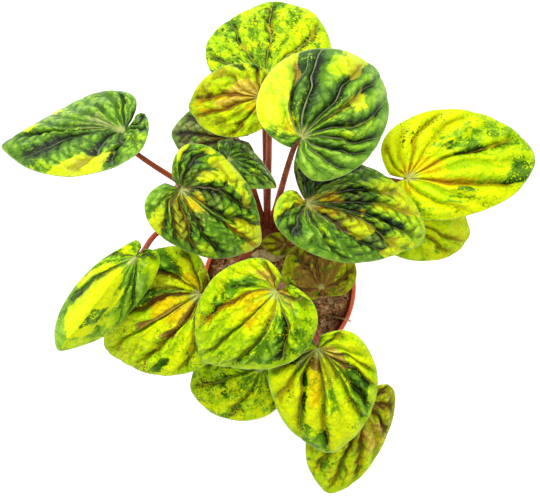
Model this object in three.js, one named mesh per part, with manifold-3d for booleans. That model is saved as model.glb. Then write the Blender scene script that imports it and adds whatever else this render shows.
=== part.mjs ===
// A small potted peperomia with variegated, deeply corrugated leaves.
// Millimetres, +Z up. The origin is the centre of the pot's flat base. +Y is the back of the plant, which
// is the top of it when it is seen from straight above with +X to the right.
import * as THREE from 'three';
import { mergeVertices } from 'three/addons/utils/BufferGeometryUtils.js';
import Module from 'manifold-3d';

const wasm = await Module();
wasm.setup();

// ---- driving dimensions ------------------------------------------------------------------------------

// the pot: a thin-walled nursery pot with a stepped collar and a rolled lip
const POT_HEIGHT = 70;
const POT_LIP_RADIUS = 40;
const POT_BASE_RADIUS = 28.5;
const POT_WALL = 1.4;
const POT_FLOOR = 1.8;
const COLLAR_HEIGHT = 13;
const COLLAR_STEP = 1.5;
const LIP_HEIGHT = 2.6;
const LIP_OVERHANG = 1.1;
const BASE_CHAMFER = 1.2;
const DRAIN_HOLES = 6;
const DRAIN_HOLE_RADIUS = 3;
const DRAIN_RING_RADIUS = 18.5;
const POT_SECTORS = 40;

// the soil: coarse chips, filled to a little below the lip
const SOIL_TOP = 60;
const SOIL_RELIEF = 1.7;
const SOIL_RINGS = 9;
const SOIL_SECTORS = 40;
const FIT_GAP = 0.3;

// the two crowns that the leaf stalks grow from, each in a plain hole in the soil
const CROWN_DEPTH = 14;
const CROWNS = {
  main: { x: -6, y: 27, radius: 6, top: 71 },
  side: { x: 9, y: -10, radius: 4.6, top: 70 },
};
const CROWN_SECTORS = 12;

// the leaf stalks: round, tapered, ending square under the blade
const STALK_RADIUS_LOW = 1.9;
const STALK_RADIUS_HIGH = 1.25;
const STALK_SIDES = 6;
const STALK_STEPS = 12;
const STALK_LAST_REACH = [9, 3];

// the leaf blades
const BLADE_THICKNESS = 1.1;
const RIDGES = 8;
const RIDGE_STEPS = 4;
const RIDGE_SHARPNESS = 0.7;
const BLADE_RINGS = [0, 0.2, 0.46, 0.74, 1];
const NOTCH_HALF_ANGLE = 0.1;
const VEIN_BEND = 0.35;
const CENTRE_PIT = 0.05;

// One row per leaf. at: where the stalk meets the blade. length and width: of the flat blade. heading,
// pitch, roll in degrees: where the tip points, how far it dips, which side is lifted. back: the share of
// the length that lies behind the stalk. droop, cup: how far the tip and the sides curl down. ridge: the
// height of the corrugations. notch, skew, fold, egg and point bend the outline away from the usual heart.
const LEAVES = {
  leaf_back_large: { crown: 'main', at: [9, 68, 172], length: 67, width: 60, heading: 44, pitch: 20, back: 0.21,
    droop: 0.16, cup: 0.12, ridge: 2.5, skew: 0.07, notch: 0.12, point: 0 },
  leaf_back_top: { crown: 'main', at: [-7, 100, 126], length: 57, width: 60, heading: 85, pitch: 26, back: 0.18,
    droop: 0.1, cup: 0.05, ridge: 1.1, point: 0 },
  leaf_back_tan: { crown: 'main', at: [-9, 88, 150], length: 42, width: 33, heading: -176, pitch: 18, back: 0.16,
    droop: 0.14, cup: 0.12, ridge: 2 },
  leaf_far_left: { crown: 'main', at: [-72, 74, 140], length: 71, width: 56, heading: -175, pitch: 8, roll: 42,
    back: 0.19, droop: 0.08, cup: 0.1, ridge: 2.2, notch: 0.55, skew: -0.05 },
  leaf_left_large: { crown: 'main', at: [-44, 46, 158], length: 60, width: 52, heading: -35, pitch: 18, back: 0.24,
    droop: 0.14, cup: 0.14, ridge: 2.5 },
  leaf_left_curled: { crown: 'main', at: [-24, 61, 140], length: 38, width: 31, heading: -23, pitch: 28, roll: -42,
    back: 0.22, droop: 0.12, cup: 0.14, ridge: 1.3 },
  leaf_left_dull: { crown: 'main', at: [-23, 73, 116], length: 43, width: 34, heading: 174, pitch: 14, back: 0.28,
    droop: 0.12, cup: 0.12, ridge: 1.4 },
  leaf_far_right: { crown: 'main', at: [60, 53, 126], length: 73, width: 55, heading: 9, pitch: 5, roll: -6,
    back: 0.16, droop: 0.08, cup: 0.1, ridge: 1.9, skew: 0.12, point: 0, via: [[46, 53, 113]] },
  leaf_right_low: { crown: 'main', at: [58, 35, 106], length: 52, width: 39, heading: -11, pitch: 18, back: 0.22,
    droop: 0.12, cup: 0.12, ridge: 1.6, point: 0 },
  leaf_right_dark: { crown: 'main', at: [12, 40, 155], length: 72, width: 49, heading: -18, pitch: 12, roll: -12,
    back: 0.2, droop: 0.12, cup: 0.12, ridge: 2.5, notch: -0.45, skew: 0.06 },
  leaf_front_middle: { crown: 'side', at: [-2, 1, 160], length: 61, width: 54, heading: -135, pitch: 20, back: 0.17,
    droop: 0.14, cup: 0.13, ridge: 2.4, skew: 0.06, via: [[1, -9, 100]] },
  leaf_front_left: { crown: 'main', at: [-37, -1, 136], length: 67, width: 59, heading: -149, pitch: 16, back: 0.16,
    droop: 0.12, cup: 0.12, ridge: 2.3, via: [[-24, 10, 104]] },
  leaf_front_folded: { crown: 'main', at: [-65, 16, 152], length: 69, width: 33, heading: -131, pitch: 14, back: 0.14,
    droop: 0.14, cup: 0.08, ridge: 1, fold: 0.8, egg: -0.05, via: [[-30, 22, 96], [-56, 28, 126]] },
  leaf_front_small: { crown: 'side', at: [-9, -38, 112], length: 47, width: 43, heading: -163, pitch: 14, back: 0.22,
    droop: 0.1, cup: 0.12, ridge: 1.2 },
  leaf_front_right: { crown: 'side', at: [17, -26, 142], length: 63, width: 53, heading: -82, pitch: 16, back: 0.16,
    droop: 0.12, cup: 0.12, ridge: 2.4 },
  leaf_front_low: { crown: 'side', at: [39, -55, 112], length: 62, width: 43, heading: -107, pitch: 12, roll: -20,
    back: 0.22, droop: 0.1, cup: 0.12, ridge: 1.8, skew: -0.06 },
  leaf_low_brown: { crown: 'side', at: [21, 0, 92], length: 32, width: 36, heading: 101, pitch: 10, back: 0.18,
    droop: 0.12, cup: 0.1, ridge: 1 },
  leaf_young: { crown: 'main', at: [3, 22, 81], length: 16, width: 12, heading: 177, pitch: 10, back: 0.22,
    droop: 0.12, cup: 0.1, ridge: 0.4 },
};
const LEAF_DEFAULTS = { roll: 0, notch: 0, skew: 0, fold: 0, egg: 0.16, point: 0.2, via: [] };

// ---- small helpers -----------------------------------------------------------------------------------

// Repeatable random numbers, from 0 to 1.
function randomSource(seed) {
  let state = seed;
  return () => {
    state = (state * 1664525 + 1013904223) % 4294967296;
    return state / 4294967296;
  };
}

// A BufferGeometry from a list of points and a list of corner triples.
function geometryFrom(points, triangles) {
  const geometry = new THREE.BufferGeometry();
  geometry.setAttribute('position', new THREE.Float32BufferAttribute(points.flatMap((p) => [p.x, p.y, p.z]), 3));
  geometry.setIndex(triangles.flat());
  geometry.computeVertexNormals();
  return geometry;
}

function toSolid(geometry) {
  const plain = geometry.clone();
  plain.deleteAttribute('normal');
  plain.deleteAttribute('uv');
  const merged = mergeVertices(plain, 1e-4);
  return new wasm.Manifold(new wasm.Mesh({
    numProp: 3,
    vertProperties: new Float32Array(merged.attributes.position.array),
    triVerts: new Uint32Array(merged.index.array),
  }));
}

function toGeometry(solid) {
  const mesh = solid.getMesh();
  const geometry = new THREE.BufferGeometry();
  geometry.setAttribute('position', new THREE.BufferAttribute(new Float32Array(mesh.vertProperties), 3));
  geometry.setIndex(new THREE.BufferAttribute(new Uint32Array(mesh.triVerts), 1));
  geometry.computeVertexNormals();
  return geometry;
}

// An upright cylinder from one height to another.
function postGeometry(x, y, low, high, radius, sides) {
  const geometry = new THREE.CylinderGeometry(radius, radius, high - low, sides);
  geometry.rotateX(Math.PI / 2);
  geometry.translate(x, y, (low + high) / 2);
  return geometry;
}

function latheUpright(profile, sectors) {
  const geometry = new THREE.LatheGeometry(profile, sectors);
  geometry.rotateX(Math.PI / 2);
  return geometry;
}

function add(group, name, geometry, material) {
  const mesh = new THREE.Mesh(geometry, material);
  mesh.name = name;
  group.add(mesh);
}

// ---- the pot -----------------------------------------------------------------------------------------

const COLLAR_LOW = POT_HEIGHT - COLLAR_HEIGHT;
const COLLAR_RADIUS = POT_LIP_RADIUS - LIP_OVERHANG;
const BODY_TOP_RADIUS = COLLAR_RADIUS - COLLAR_STEP;
const COLLAR_BEVEL = 1.2;

// Outer radius of the pot's plain body at a height below the collar.
function bodyRadius(z) {
  return POT_BASE_RADIUS + (BODY_TOP_RADIUS - POT_BASE_RADIUS) * (z / COLLAR_LOW);
}

// Inner radius of the pot at any height above its floor.
function innerRadius(z) {
  const collarInner = COLLAR_RADIUS - POT_WALL;
  if (z >= COLLAR_LOW + COLLAR_BEVEL) return collarInner;
  return Math.min(bodyRadius(z) - POT_WALL, collarInner);
}

function potGeometry() {
  const point = (radius, z) => new THREE.Vector2(radius, z);
  const lipLow = POT_HEIGHT - LIP_HEIGHT;
  const lipRound = LIP_OVERHANG * 0.6;
  const lipTopInner = innerRadius(POT_HEIGHT) + 0.5;
  const profile = [
    point(0, 0),
    point(POT_BASE_RADIUS - BASE_CHAMFER, 0),
    point(bodyRadius(BASE_CHAMFER), BASE_CHAMFER),
    point(bodyRadius(COLLAR_LOW), COLLAR_LOW),
    point(COLLAR_RADIUS, COLLAR_LOW + COLLAR_BEVEL),
    point(COLLAR_RADIUS, lipLow),
    point(POT_LIP_RADIUS, lipLow + lipRound),
    point(POT_LIP_RADIUS, POT_HEIGHT - lipRound),
    point(COLLAR_RADIUS + lipRound * 0.4, POT_HEIGHT),
    point(lipTopInner, POT_HEIGHT),
    point(innerRadius(POT_HEIGHT), POT_HEIGHT - lipRound),
    point(innerRadius(POT_HEIGHT), COLLAR_LOW + COLLAR_BEVEL),
    point(bodyRadius(COLLAR_LOW) - POT_WALL, COLLAR_LOW),
    point(bodyRadius(POT_FLOOR) - POT_WALL, POT_FLOOR),
    point(0, POT_FLOOR),
  ];
  let shell = toSolid(latheUpright(profile, POT_SECTORS));
  if (shell.volume() < 0) shell = toSolid(latheUpright(profile.reverse(), POT_SECTORS));
  for (let hole = 0; hole < DRAIN_HOLES; hole += 1) {
    const angle = (hole / DRAIN_HOLES) * 2 * Math.PI;
    const x = DRAIN_RING_RADIUS * Math.cos(angle);
    const y = DRAIN_RING_RADIUS * Math.sin(angle);
    shell = shell.subtract(toSolid(postGeometry(x, y, -1, POT_FLOOR + 1, DRAIN_HOLE_RADIUS, 12)));
  }
  return toGeometry(shell);
}

// ---- the soil ----------------------------------------------------------------------------------------

// A closed body of rings round the pot's axis. Its top is a relief of chips, its side follows the pot.
function soilGeometry() {
  const random = randomSource(11);
  const points = [];
  const triangles = [];
  const sideHeights = [SOIL_TOP, COLLAR_LOW, POT_FLOOR + FIT_GAP];
  const sideRadii = sideHeights.map((z) => innerRadius(z) - FIT_GAP);
  const ringStart = [];
  const addRing = (radius, heightAt) => {
    ringStart.push(points.length);
    for (let sector = 0; sector < SOIL_SECTORS; sector += 1) {
      const angle = ((sector + 0.5 * (ringStart.length % 2)) / SOIL_SECTORS) * 2 * Math.PI;
      points.push(new THREE.Vector3(radius * Math.cos(angle), radius * Math.sin(angle), heightAt()));
    }
  };
  const centreTop = points.push(new THREE.Vector3(0, 0, SOIL_TOP)) - 1;
  for (let ring = 1; ring < SOIL_RINGS; ring += 1) {
    addRing((sideRadii[0] * ring) / SOIL_RINGS, () => SOIL_TOP + (random() - 0.5) * 2 * SOIL_RELIEF);
  }
  const shrink = Math.cos(Math.PI / POT_SECTORS);
  sideHeights.forEach((z, index) => addRing(sideRadii[index] * shrink, () => z));
  const centreLow = points.push(new THREE.Vector3(0, 0, sideHeights.at(-1))) - 1;
  const wrap = (start, sector) => start + (sector % SOIL_SECTORS);
  for (let sector = 0; sector < SOIL_SECTORS; sector += 1) {
    triangles.push([centreTop, wrap(ringStart[0], sector), wrap(ringStart[0], sector + 1)]);
    triangles.push([centreLow, wrap(ringStart.at(-1), sector + 1), wrap(ringStart.at(-1), sector)]);
    for (let ring = 0; ring + 1 < ringStart.length; ring += 1) {
      const inner = ringStart[ring];
      const outer = ringStart[ring + 1];
      // Every second ring is turned by half a sector, so the near corner changes from ring to ring.
      const shift = ring % 2 === 0 ? 1 : 0;
      triangles.push([wrap(inner, sector), wrap(outer, sector + shift), wrap(inner, sector + 1)]);
      triangles.push([wrap(outer, sector), wrap(outer, sector + 1), wrap(inner, sector + 1 - shift)]);
    }
  }
  let soil = toSolid(geometryFrom(points, triangles));
  for (const crown of Object.values(CROWNS)) {
    const low = SOIL_TOP - CROWN_DEPTH;
    const radius = crown.radius + FIT_GAP;
    soil = soil.subtract(toSolid(postGeometry(crown.x, crown.y, low, SOIL_TOP + 9, radius, CROWN_SECTORS)));
  }
  return toGeometry(soil);
}

// ---- the leaf blades ---------------------------------------------------------------------------------

function leafMatrix(leaf) {
  const radians = THREE.MathUtils.degToRad;
  const turn = new THREE.Matrix4().makeRotationZ(radians(leaf.heading));
  turn.multiply(new THREE.Matrix4().makeRotationY(radians(leaf.pitch)));
  turn.multiply(new THREE.Matrix4().makeRotationX(radians(leaf.roll)));
  return turn.setPosition(...leaf.at);
}

const bump = (value, centre, spread) => Math.exp(-(((value - centre) / spread) ** 2));

// The outline of the flat blade, as a heart with its stalk at (0, 0) and its tip along +x. The angle runs
// from one side of the notch (-pi) past the tip (0) to the other side (pi).
function outline(leaf, angle) {
  const around = Math.atan2(Math.sin(angle), Math.cos(angle));
  const lobe = 0.05 * bump(Math.abs(around), 2.45, 0.42);
  const tip = 0.03 * bump(around, 0, 0.28);
  const x = leaf.length * (0.5 - leaf.back + 0.5 * Math.cos(around) - lobe + tip);
  const side = 1 + (around > 0 ? leaf.skew : -leaf.skew);
  const narrowing = (1 - leaf.egg * Math.cos(around)) * (1 - leaf.point * bump(around, 0, 0.6));
  const y = (leaf.width / 2) * Math.sin(around) * narrowing * side;
  return { x, y };
}

// A point of the blade's upper face, in the leaf's own frame. across runs from 0 to 1 from one edge of the
// notch round to the other, and each of the ridges is an equal share of it, with the midrib at 0.5. along
// runs from 0 at the stalk to 1 at the margin, on the curved line of a vein.
function bladePoint(leaf, across, along) {
  const low = -Math.PI + NOTCH_HALF_ANGLE + leaf.notch;
  const high = Math.PI - NOTCH_HALF_ANGLE + leaf.notch;
  const angle = across < 0.5 ? low * (1 - 2 * across) : high * (2 * across - 1);
  const margin = outline(leaf, angle);
  const reach = Math.hypot(margin.x, margin.y);
  const direction = Math.atan2(margin.y, margin.x);
  const start = direction + VEIN_BEND * Math.sin(direction);
  const early = 2 * (1 - along) * along * 0.5 * reach;
  const x = early * Math.cos(start) + along * along * margin.x;
  const y = early * Math.sin(start) + along * along * margin.y;
  const tipReach = (1 - leaf.back) * leaf.length;
  const fromStalk = Math.hypot(x, y) / (0.14 * leaf.length);
  const pit = CENTRE_PIT * leaf.length * (1 - Math.exp(-fromStalk * fromStalk));
  const droop = leaf.droop * leaf.length * (x / tipReach) ** 2;
  const cup = ((leaf.cup * leaf.width) / 2) * ((2 * y) / leaf.width) ** 2;
  const rise = (1 - bump(along, 0, 0.24)) * (1 - 0.6 * along ** 4);
  const within = (across * RIDGES) % 1;
  const ridge = leaf.ridge * rise * Math.abs(Math.sin(Math.PI * within)) ** RIDGE_SHARPNESS;
  return new THREE.Vector3(x, y, pit - droop - cup - leaf.fold * Math.abs(y) + ridge);
}

// The blade as a thin closed body: an upper face, a lower face split the same way, and the edge between.
function bladeGeometry(leaf) {
  const columns = RIDGES * RIDGE_STEPS;
  const matrix = leafMatrix(leaf);
  const sheet = [bladePoint(leaf, 0.5, 0)];
  const at = (ring, column) => (ring === 0 ? 0 : 1 + (ring - 1) * (columns + 1) + column);
  for (const along of BLADE_RINGS.slice(1)) {
    for (let column = 0; column <= columns; column += 1) sheet.push(bladePoint(leaf, column / columns, along));
  }
  const faces = [];
  for (let ring = 0; ring + 1 < BLADE_RINGS.length; ring += 1) {
    for (let column = 0; column < columns; column += 1) {
      const a = at(ring, column);
      const b = at(ring + 1, column);
      const c = at(ring + 1, column + 1);
      const d = at(ring, column + 1);
      // The split leans towards the crest of each ridge, so that both of its flanks are alike.
      const rising = column % RIDGE_STEPS < RIDGE_STEPS / 2;
      if (ring === 0) faces.push([a, b, c]);
      else if (rising) faces.push([a, b, c], [a, c, d]);
      else faces.push([a, b, d], [b, c, d]);
    }
  }
  const last = BLADE_RINGS.length - 1;
  const rim = [];
  for (let ring = 0; ring < last; ring += 1) rim.push(at(ring, 0));
  for (let column = 0; column <= columns; column += 1) rim.push(at(last, column));
  for (let ring = last - 1; ring > 0; ring -= 1) rim.push(at(ring, columns));
  const under = sheet.length;
  const below = new THREE.Vector3(0, 0, -BLADE_THICKNESS);
  const points = [...sheet, ...sheet.map((p) => p.clone().add(below))].map((p) => p.applyMatrix4(matrix));
  const triangles = [...faces, ...faces.map(([a, b, c]) => [a + under, c + under, b + under])];
  rim.forEach((a, index) => {
    const b = rim[(index + 1) % rim.length];
    triangles.push([a, a + under, b + under], [a, b + under, b]);
  });
  return geometryFrom(points, triangles);
}

// ---- the crowns and leaf stalks ----------------------------------------------------------------------

// A tapered round tube with closed ends along a curve.
function taperedTube(curve, steps, radiusAt, sides) {
  const frames = curve.computeFrenetFrames(steps, false);
  const points = [];
  const triangles = [];
  for (let step = 0; step <= steps; step += 1) {
    const centre = curve.getPointAt(step / steps);
    for (let side = 0; side < sides; side += 1) {
      const angle = (side / sides) * 2 * Math.PI;
      const offset = frames.normals[step].clone().multiplyScalar(Math.cos(angle));
      offset.addScaledVector(frames.binormals[step], Math.sin(angle));
      points.push(centre.clone().addScaledVector(offset, radiusAt(step / steps)));
    }
  }
  for (let step = 0; step < steps; step += 1) {
    for (let side = 0; side < sides; side += 1) {
      const a = step * sides + side;
      const b = step * sides + ((side + 1) % sides);
      triangles.push([a, b, b + sides], [a, b + sides, a + sides]);
    }
  }
  const top = steps * sides;
  for (let side = 1; side + 1 < sides; side += 1) {
    triangles.push([0, side + 1, side], [top, top + side, top + side + 1]);
  }
  return geometryFrom(points, triangles);
}

// The stalk leaves the crown upwards and outwards and meets the blade square from below.
function stalkCurve(leaf, crown) {
  const matrix = leafMatrix(leaf);
  const normal = new THREE.Vector3(0, 0, 1).transformDirection(matrix);
  const clearance = FIT_GAP + leaf.fold * STALK_RADIUS_HIGH;
  const end = new THREE.Vector3(...leaf.at).addScaledVector(normal, -BLADE_THICKNESS - clearance);
  const before = STALK_LAST_REACH.map((reach) => end.clone().addScaledVector(normal, -reach));
  const outwards = new THREE.Vector3(leaf.at[0] - crown.x, leaf.at[1] - crown.y, 0).normalize();
  const root = new THREE.Vector3(crown.x, crown.y, SOIL_TOP + 3).addScaledVector(outwards, crown.radius * 0.35);
  const shoulder = new THREE.Vector3(crown.x, crown.y, crown.top - 2).addScaledVector(outwards, crown.radius * 0.9);
  const via = leaf.via.map((place) => new THREE.Vector3(...place));
  return new THREE.CatmullRomCurve3([root, shoulder, ...via, ...before, end], false, 'centripetal');
}

function crownGeometry(crown) {
  const low = SOIL_TOP - CROWN_DEPTH + FIT_GAP;
  const profile = [
    new THREE.Vector2(0, low),
    new THREE.Vector2(crown.radius, low),
    new THREE.Vector2(crown.radius, SOIL_TOP + 3),
    new THREE.Vector2(crown.radius * 0.92, (SOIL_TOP + crown.top) / 2),
    new THREE.Vector2(crown.radius * 0.6, crown.top),
    new THREE.Vector2(0, crown.top + 1),
  ];
  const geometry = latheUpright(profile, CROWN_SECTORS);
  geometry.translate(crown.x, crown.y, 0);
  return geometry;
}

function stemGeometry(crownName, leaves) {
  const crown = CROWNS[crownName];
  let body = toSolid(crownGeometry(crown));
  const radiusAt = (share) => THREE.MathUtils.lerp(STALK_RADIUS_LOW, STALK_RADIUS_HIGH, share);
  for (const leaf of leaves.filter((each) => each.crown === crownName)) {
    body = body.add(toSolid(taperedTube(stalkCurve(leaf, crown), STALK_STEPS, radiusAt, STALK_SIDES)));
  }
  return toGeometry(body);
}

// ---- the whole plant ---------------------------------------------------------------------------------

const plastic = new THREE.MeshStandardMaterial({ color: 0xc9623c, roughness: 0.55, metalness: 0 });
const earth = new THREE.MeshStandardMaterial({ color: 0x5e3f2a, roughness: 0.95, metalness: 0 });
const stem = new THREE.MeshStandardMaterial({ color: 0x8a4a30, roughness: 0.5, metalness: 0 });
const LEAF_COLOURS = {
  leaf_back_large: 0x4f7d22, leaf_back_top: 0x9fc41c, leaf_back_tan: 0xb9b42a, leaf_far_left: 0x4b7a20,
  leaf_left_large: 0x5b8424, leaf_left_curled: 0x4f7f2c, leaf_left_dull: 0x65743c, leaf_far_right: 0xd3d516,
  leaf_right_low: 0xa0a51f, leaf_right_dark: 0x5a7a2b, leaf_front_middle: 0xa9cc1e, leaf_front_left: 0x9aa520,
  leaf_front_folded: 0x9dbb2a, leaf_front_small: 0x86ad1f, leaf_front_right: 0xa3c81f, leaf_front_low: 0x9b9a2c,
  leaf_low_brown: 0x6a5a2a, leaf_young: 0x5c4f16,
};

const plant = new THREE.Group();
const leaves = Object.entries(LEAVES).map(([name, row]) => ({ name, ...LEAF_DEFAULTS, ...row }));
add(plant, 'pot', potGeometry(), plastic);
add(plant, 'soil', soilGeometry(), earth);
for (const name of Object.keys(CROWNS)) add(plant, `stem_${name}`, stemGeometry(name, leaves), stem);
for (const leaf of leaves) {
  const green = new THREE.MeshStandardMaterial({ color: LEAF_COLOURS[leaf.name], roughness: 0.45, metalness: 0 });
  add(plant, leaf.name, bladeGeometry(leaf), green);
}

export default plant;
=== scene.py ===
# %% [markdown]
# # Dressing a potted peperomia
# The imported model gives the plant's frame: a thin nursery pot, the soil in it, two stem bases with their
# leaf stalks, and eighteen heart-shaped blades. This lesson gives every one of them its finished surface.
# The blades are the heart of the work, because no two are ridged or marked alike.

import math
import random
from types import SimpleNamespace

import bpy
import numpy as np
from mathutils import Matrix, Vector, noise


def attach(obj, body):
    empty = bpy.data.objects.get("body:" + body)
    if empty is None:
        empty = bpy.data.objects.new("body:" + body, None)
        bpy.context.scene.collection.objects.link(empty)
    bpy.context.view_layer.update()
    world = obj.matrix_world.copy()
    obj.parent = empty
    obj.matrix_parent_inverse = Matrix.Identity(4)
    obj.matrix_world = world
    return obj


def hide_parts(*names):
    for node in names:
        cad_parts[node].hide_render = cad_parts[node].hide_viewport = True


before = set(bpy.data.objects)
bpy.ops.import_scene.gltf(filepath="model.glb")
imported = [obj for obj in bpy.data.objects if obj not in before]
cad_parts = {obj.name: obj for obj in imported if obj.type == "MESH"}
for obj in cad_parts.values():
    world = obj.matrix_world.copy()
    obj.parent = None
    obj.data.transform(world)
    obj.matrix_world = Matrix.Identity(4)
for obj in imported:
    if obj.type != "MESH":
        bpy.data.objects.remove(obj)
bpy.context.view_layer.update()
MM = 0.001

# %% [markdown]
# ## Camera, light and floor
# The plant is looked at from straight above, from about arm's length, so the tall leaves look a little
# larger than the low ones. A camera's lens follows from its picture: a thing as wide as it is far away
# covers FOCUS_PIXELS of it, and the lens is to the sensor's width as those pixels are to the picture's.

# %% Camera
PICTURE_WIDTH = 540
FOCUS_PIXELS = 1155
SENSOR_MM = 36
CAMERA_AT = Vector((-4.7, 19.2, 670)) * MM

bpy.ops.object.camera_add(location=CAMERA_AT, rotation=(0, 0, 0))
camera = bpy.context.object
camera.data.sensor_width = SENSOR_MM
camera.data.lens = SENSOR_MM * FOCUS_PIXELS / PICTURE_WIDTH
bpy.context.scene.camera = camera
print("lens in mm:", round(camera.data.lens, 1))

# %% [markdown]
# The light is that of a plain studio: an even sky and two large soft lamps leave only weak shadows. The
# stronger lamp stands behind the plant, so that each ridge of a leaf has a light and a dark side. The weaker
# one hangs above, and lends the glossy leaves their sheen.

# %% Lamps and sky
SKY_STRENGTH = 0.46
LAMP_AIM = Vector((0, 0.02, 0.1))
LAMPS = {
    "lamp_behind": {"at": (-0.35, 1.05, 1.35), "size": 0.8, "watts": 23},
    "lamp_above": {"at": (0.2, -0.2, 1.5), "size": 0.9, "watts": 7},
}


def add_lamp(name, at, size, watts):
    bpy.ops.object.light_add(type="AREA", location=at)
    lamp = bpy.context.object
    lamp.name = name
    lamp.data.size = size
    lamp.data.energy = watts
    lamp.rotation_euler = (LAMP_AIM - Vector(at)).to_track_quat("-Z", "Y").to_euler()


for lamp_name, lamp_row in LAMPS.items():
    add_lamp(lamp_name, **lamp_row)
sky = bpy.data.worlds.new("studio sky")
sky.use_nodes = True
sky.node_tree.nodes["Background"].inputs["Color"].default_value = (1, 1, 1, 1)
sky.node_tree.nodes["Background"].inputs["Strength"].default_value = SKY_STRENGTH
bpy.context.scene.world = sky
bpy.context.scene.view_settings.view_transform = "Standard"
print("lamps:", ", ".join(LAMPS))

# %% [markdown]
# The floor is a plain white sheet. A white thing under soft light comes out pale grey, so the floor also
# glows a little by itself, which keeps it white without brightening the leaves much.

# %% Floor
FLOOR_SIZE = 6
FLOOR_FINISH = {
    "Base Color": (0.97, 0.97, 0.97, 1),
    "Roughness": 0.9,
    "Specular IOR Level": 0.1,
    "Emission Color": (1, 1, 1, 1),
    "Emission Strength": 0.45,
}

bpy.ops.mesh.primitive_plane_add(size=FLOOR_SIZE, location=(0, 0, 0))
floor = bpy.context.object
floor.name = "floor"
floor_paint = bpy.data.materials.new("floor_paint")
floor_paint.use_nodes = True
for socket_name, setting in FLOOR_FINISH.items():
    floor_paint.node_tree.nodes["Principled BSDF"].inputs[socket_name].default_value = setting
floor.data.materials.append(floor_paint)
print("floor:", floor.name)

# %% [markdown]
# ## Helpers for meshes
# An operator acts on everything that is selected, and the loaded frame is selected, so each piece begins
# with a clean selection. A finished piece is tied to the body it rides on, and the node it replaces is
# hidden.

# %% Selection helpers
def select_only(*pieces):
    if bpy.context.object and bpy.context.object.mode != "OBJECT":
        bpy.ops.object.mode_set(mode="OBJECT")
    bpy.ops.object.select_all(action="DESELECT")
    for piece in pieces:
        piece.select_set(True)
    bpy.context.view_layer.objects.active = pieces[0] if pieces else None


def edit_mesh(piece):
    """Opens a piece in edit mode with everything selected."""
    select_only(piece)
    bpy.ops.object.mode_set(mode="EDIT")
    bpy.ops.mesh.select_all(action="SELECT")


def turn_faces_out():
    """Ends an edit: all faces of the piece are turned outwards, and edit mode is left."""
    bpy.ops.mesh.select_all(action="SELECT")
    bpy.ops.mesh.normals_make_consistent(inside=False)
    bpy.ops.object.mode_set(mode="OBJECT")


def add_modifier(piece, kind, **settings):
    """Adds a modifier and applies it at once."""
    modifier = piece.modifiers.new(kind.lower(), kind)
    for field, value in settings.items():
        setattr(modifier, field, value)
    select_only(piece)
    bpy.ops.object.modifier_apply(modifier=modifier.name)


def add_values(mesh, name, values):
    """Stores one number for each corner point, for a material to read."""
    made = mesh.attributes.new(name, "FLOAT", "POINT")
    made.data.foreach_set("value", np.ascontiguousarray(values, np.float32).ravel())


def settle(piece, name, node):
    """Names a finished piece and ties it to the frame."""
    select_only(piece)
    bpy.ops.object.transform_apply(location=True, rotation=True, scale=True)
    piece.name = name
    piece.data.name = name
    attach(piece, "root")
    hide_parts(node)
    piece.data.calc_loop_triangles()
    print(f"{name}: {len(piece.data.loop_triangles)} triangles")


# %% [markdown]
# ## Helpers for materials
# Shader trees are long to wire by hand. One short function adds a node, sets its fields and plugs in
# whatever it is given, a number or another node's socket. The others below are that function with the
# node's kind filled in. Most patterns are noises read at the place on the piece, and many of them push some
# value up where the noise is above its middle and down where it is below.

# %% Nodes
def add_node(tree, kind, values=None, **settings):
    """Adds a shader node. values maps an input's name or number to a value or to another node's socket."""
    made = tree.nodes.new("ShaderNode" + kind)
    for field, value in settings.items():
        setattr(made, field, value)
    for key, value in (values or {}).items():
        if isinstance(value, bpy.types.NodeSocket):
            tree.links.new(value, made.inputs[key])
        else:
            made.inputs[key].default_value = value
    return made


def calculate(tree, operation, *values):
    return add_node(tree, "Math", dict(enumerate(values)), operation=operation).outputs[0]


def push(tree, base, value, weight, middle=0.5):
    """base, raised or lowered by weight times how far a value lies above its middle."""
    return calculate(tree, "MULTIPLY_ADD", calculate(tree, "SUBTRACT", value, middle), weight, base)


def blend_colours(tree, factor, first, second):
    made = add_node(tree, "Mix", {0: factor, 6: first, 7: second}, data_type="RGBA")
    return made.outputs[2]


def smooth_step(tree, value, low, high, start=0.0, end=1.0):
    values = {"Value": value, "From Min": low, "From Max": high, "To Min": start, "To Max": end}
    return add_node(tree, "MapRange", values, interpolation_type="SMOOTHSTEP").outputs["Result"]


def read_attribute(tree, name):
    return add_node(tree, "Attribute", attribute_name=name).outputs["Fac"]


def combine(tree, x=0.0, y=0.0, z=0.0):
    return add_node(tree, "CombineXYZ", {0: x, 1: y, 2: z}).outputs[0]


def place_on_piece(tree, shift=None):
    """The place on the piece in metres, moved by a vector if one is given."""
    place = add_node(tree, "TexCoord").outputs["Object"]
    if shift is None:
        return place
    return add_node(tree, "VectorMath", {0: place, 1: shift}, operation="ADD").outputs[0]


def noise_on(tree, vector, scale, detail=2.0, roughness=0.5):
    """Soft noise from 0 to 1. On a place in metres, its lumps are 1 / scale of a metre wide."""
    values = {"Vector": vector, "Scale": scale, "Detail": detail, "Roughness": roughness}
    return add_node(tree, "TexNoise", values).outputs["Fac"]


def cells_on(tree, vector, scale):
    """Round cells: 0 in the middle of each, and more towards its border."""
    return add_node(tree, "TexVoronoi", {"Vector": vector, "Scale": scale}, feature="F1").outputs["Distance"]


# %% [markdown]
# An effect that several materials share is a node group with named inputs and outputs. The shader itself
# stays in each material. Colours are given as a colour picker shows them, from 0 to 255, while shaders work
# in linear light, so each one is converted.

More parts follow.
